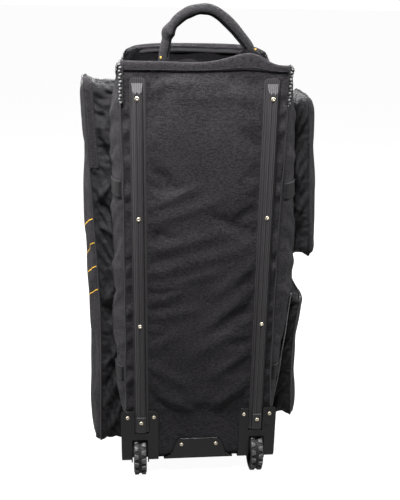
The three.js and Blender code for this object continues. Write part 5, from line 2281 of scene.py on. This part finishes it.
@dataclass
class BatPocket(SidePocket):
    """The long pocket, with a sewn welt and the end of its zip.

    Attributes:
        welt_low: The welt's lower end above the floor.
        welt_turn: How far it runs on over the pocket's top.
        welt_width: Its width.
        zip_y: Where the zip crosses the pocket's top, inwards from the back panel.
    """

    welt_low: float = 0.766
    welt_turn: float = 0.024
    welt_width: float = 0.018
    zip_y: float = 0.083

    def build(self) -> None:
        """Builds the pocket, its welt and its zip."""
        super().build()
        self._welt()
        self._top_zip()

    def _beside_seam(self, share: Array, inward: Array, off: float) -> tuple[Array, Array]:
        """Follows the gusset beside its outer seam.

        Args:
            share: How far round the outline.
            inward: How far from the seam towards the bag.
            off: How far off the cloth.

        Returns:
            The places, and the way outwards at each.
        """
        y, z, ny, nz = self._outline(share)
        edge = self._edge_x(z)
        x = edge - inward
        out = (x - self.root) / (edge - self.root)
        pull = self._pull(out)
        shift = off - pull
        low = self._drop(y, z, out)
        places = self.form.place(self.side.value * x, y + ny * shift, z + nz * shift - low)
        return places, np.stack([np.zeros_like(y), ny, nz], axis=1)

    def _welt(self) -> None:
        """Sews a flat welt beside the piping and over the near top corner."""
        walk = np.linspace(0.02, 0.5, 2000)
        y, z, _, _ = self._outline(walk)
        start = walk[np.argmax(y < self.near + self.welt_turn)]
        end = walk[np.argmax((y < self.near + 0.001) & (z < self.welt_low))]

        def place(u: Array, v: Array) -> Array:
            """Lies beside the seam."""
            inward = 0.001 + (1 - u if self.side is Side.RIGHT else u) * self.welt_width
            return self._beside_seam(end + v * (start - end), inward, 0.0034)[0]

        piece = sheet(f"{self.name}_welt", (8, 60), place, SHELL_CLOTH)
        thicken(piece, 0.0018)
        report(piece, BODY, f"{self.name}_flap", slot="webbing")
        for word, inward in (("outer", 0.004), ("inner", self.welt_width - 0.002)):
            share = np.linspace(start + 0.002, end - 0.002, 120)
            line, ways = self._beside_seam(share, np.full_like(share, inward), 0.0039)
            points, out = vectors(line), vectors(ways)
            row = stitches(f"{self.name}_welt_stitch_{word}", points, out, BLACK_THREAD)
            report(row, BODY, slot="webbing")

    def _top_zip(self) -> None:
        """Sets the zip's teeth and tape across the pocket's top."""
        edge = self._edge_x(np.array([self.high]))[0]
        x = np.linspace(edge - 0.026, self.root + 0.006, 40)
        out = (x - self.root) / (edge - self.root)
        dip = self._pull(out)
        y, z = np.full(40, self.zip_y), np.full(40, self.high)
        line = self.form.place(self.side.value * x, y, z + 0.003 - dip - self._drop(y, z, out))
        points = resample(vectors(line), 0.0046)
        out = [Vector((0, 0, 1))] * len(points)
        tape = ribbon(f"{self.name}_zip_tape", points, out, 0.022, 0.001, ZIP_TAPE)
        thicken(tape, 0.001, 0)
        report(tape, BODY, f"{self.name}_zip", slot="zip")
        teeth = zip_teeth(f"{self.name}_zip_teeth", points, out, 0.0054, 0.0046)
        report(teeth, BODY, f"{self.name}_zip", slot="zip")


def pockets(form: BagForm, drapery: Drapery) -> list[SidePocket]:
    """Lists the bag's pockets with their sizes.

    Args:
        form: The bag's surface.
        drapery: What the cloth settles in.

    Returns:
        The pockets.
    """
    return [
        BatPocket(
            form,
            drapery,
            "left_pocket",
            Side.LEFT,
            low=0.0605,
            high=0.962,
            corner=0.026,
            far_corner=0.080,
            dome=0.023,
            crown=0.32,
            lean=0.085,
            droop=0.011,
            reach=((0, 1.035), (0.12, 1.02), (0.4, 0.995), (0.65, 1.025), (1, 1.085)),
            face_finish=STRIPED_CLOTH,
            puckered=(0.72, 0.80),
            folds=(
                Fold((0.008, 0.760), (0.050, 0.690), 0.007, 0.006),
                Fold((0.010, 0.640), (0.052, 0.700), 0.006, -0.005),
                Fold((0.006, 0.600), (0.050, 0.640), 0.008, 0.006),
                Fold((0.010, 0.520), (0.050, 0.440), 0.009, 0.006),
                Fold((0.006, 0.470), (0.046, 0.390), 0.006, -0.005),
                Fold((0.006, 0.360), (0.054, 0.270), 0.008, 0.007),
                Fold((0.006, 0.320), (0.052, 0.215), 0.006, -0.005),
                Fold((0.006, 0.290), (0.054, 0.160), 0.008, 0.007),
                Fold((0.006, 0.230), (0.050, 0.120), 0.006, -0.005),
                Fold((0.008, 0.190), (0.046, 0.090), 0.007, 0.005),
            ),
        ),
        SidePocket(
            form,
            drapery,
            "upper_pocket",
            Side.RIGHT,
            low=0.550,
            high=0.922,
            corner=0.028,
            far_corner=0.080,
            dome=0.018,
            crown=0.9,
            reach=((0, 1.1), (0.5, 1.04), (1, 0.985)),
            piping_finish=GUSSET_CLOTH,
            folds=(
                Fold((0.020, 0.880), (0.034, 0.760), 0.005, -0.006),
                Fold((0.030, 0.800), (0.048, 0.700), 0.006, 0.005),
                Fold((0.016, 0.760), (0.044, 0.690), 0.005, -0.006),
                Fold((0.010, 0.700), (0.050, 0.660), 0.006, 0.005),
                Fold((0.026, 0.670), (0.040, 0.600), 0.005, -0.006),
            ),
        ),
        SidePocket(
            form,
            drapery,
            "lower_pocket",
            Side.RIGHT,
            low=0.118,
            high=0.506,
            corner=0.026,
            far_corner=0.040,
            dome=0.014,
            crown=1.0,
            reach=((0, 1.02), (0.5, 0.99), (0.8, 1.02), (1, 1.04)),
            slant=0.052,
            folds=(
                Fold((0.008, 0.430), (0.050, 0.445), 0.006, -0.005),
                Fold((0.006, 0.395), (0.052, 0.400), 0.008, 0.005),
                Fold((0.006, 0.345), (0.050, 0.330), 0.006, -0.006),
                Fold((0.010, 0.300), (0.052, 0.320), 0.008, 0.005),
                Fold((0.006, 0.255), (0.050, 0.240), 0.006, -0.005),
                Fold((0.010, 0.190), (0.050, 0.210), 0.008, 0.004),
            ),
            root_piping=True,
        ),
    ]


def main() -> None:
    """Builds the bag, reports each piece, and sets the studio."""
    logging.basicConfig(level=logging.INFO, format="%(message)s")
    bpy.context.scene.view_settings.view_transform = "Standard"
    np.random.seed(SEED)
    form = BagForm()
    drapery = Drapery()
    Studio().build()
    Shell(form, drapery).build()
    for pocket in pockets(form, drapery):
        pocket.build()
    Seamwork(form).build()
    GlideRails().build()
    RivetSet().build()
    RunningGear().build()
    HaulHandle(form).build()
    SideBands(form).build()
    drapery.settle()


if __name__ == "__main__":
    main()
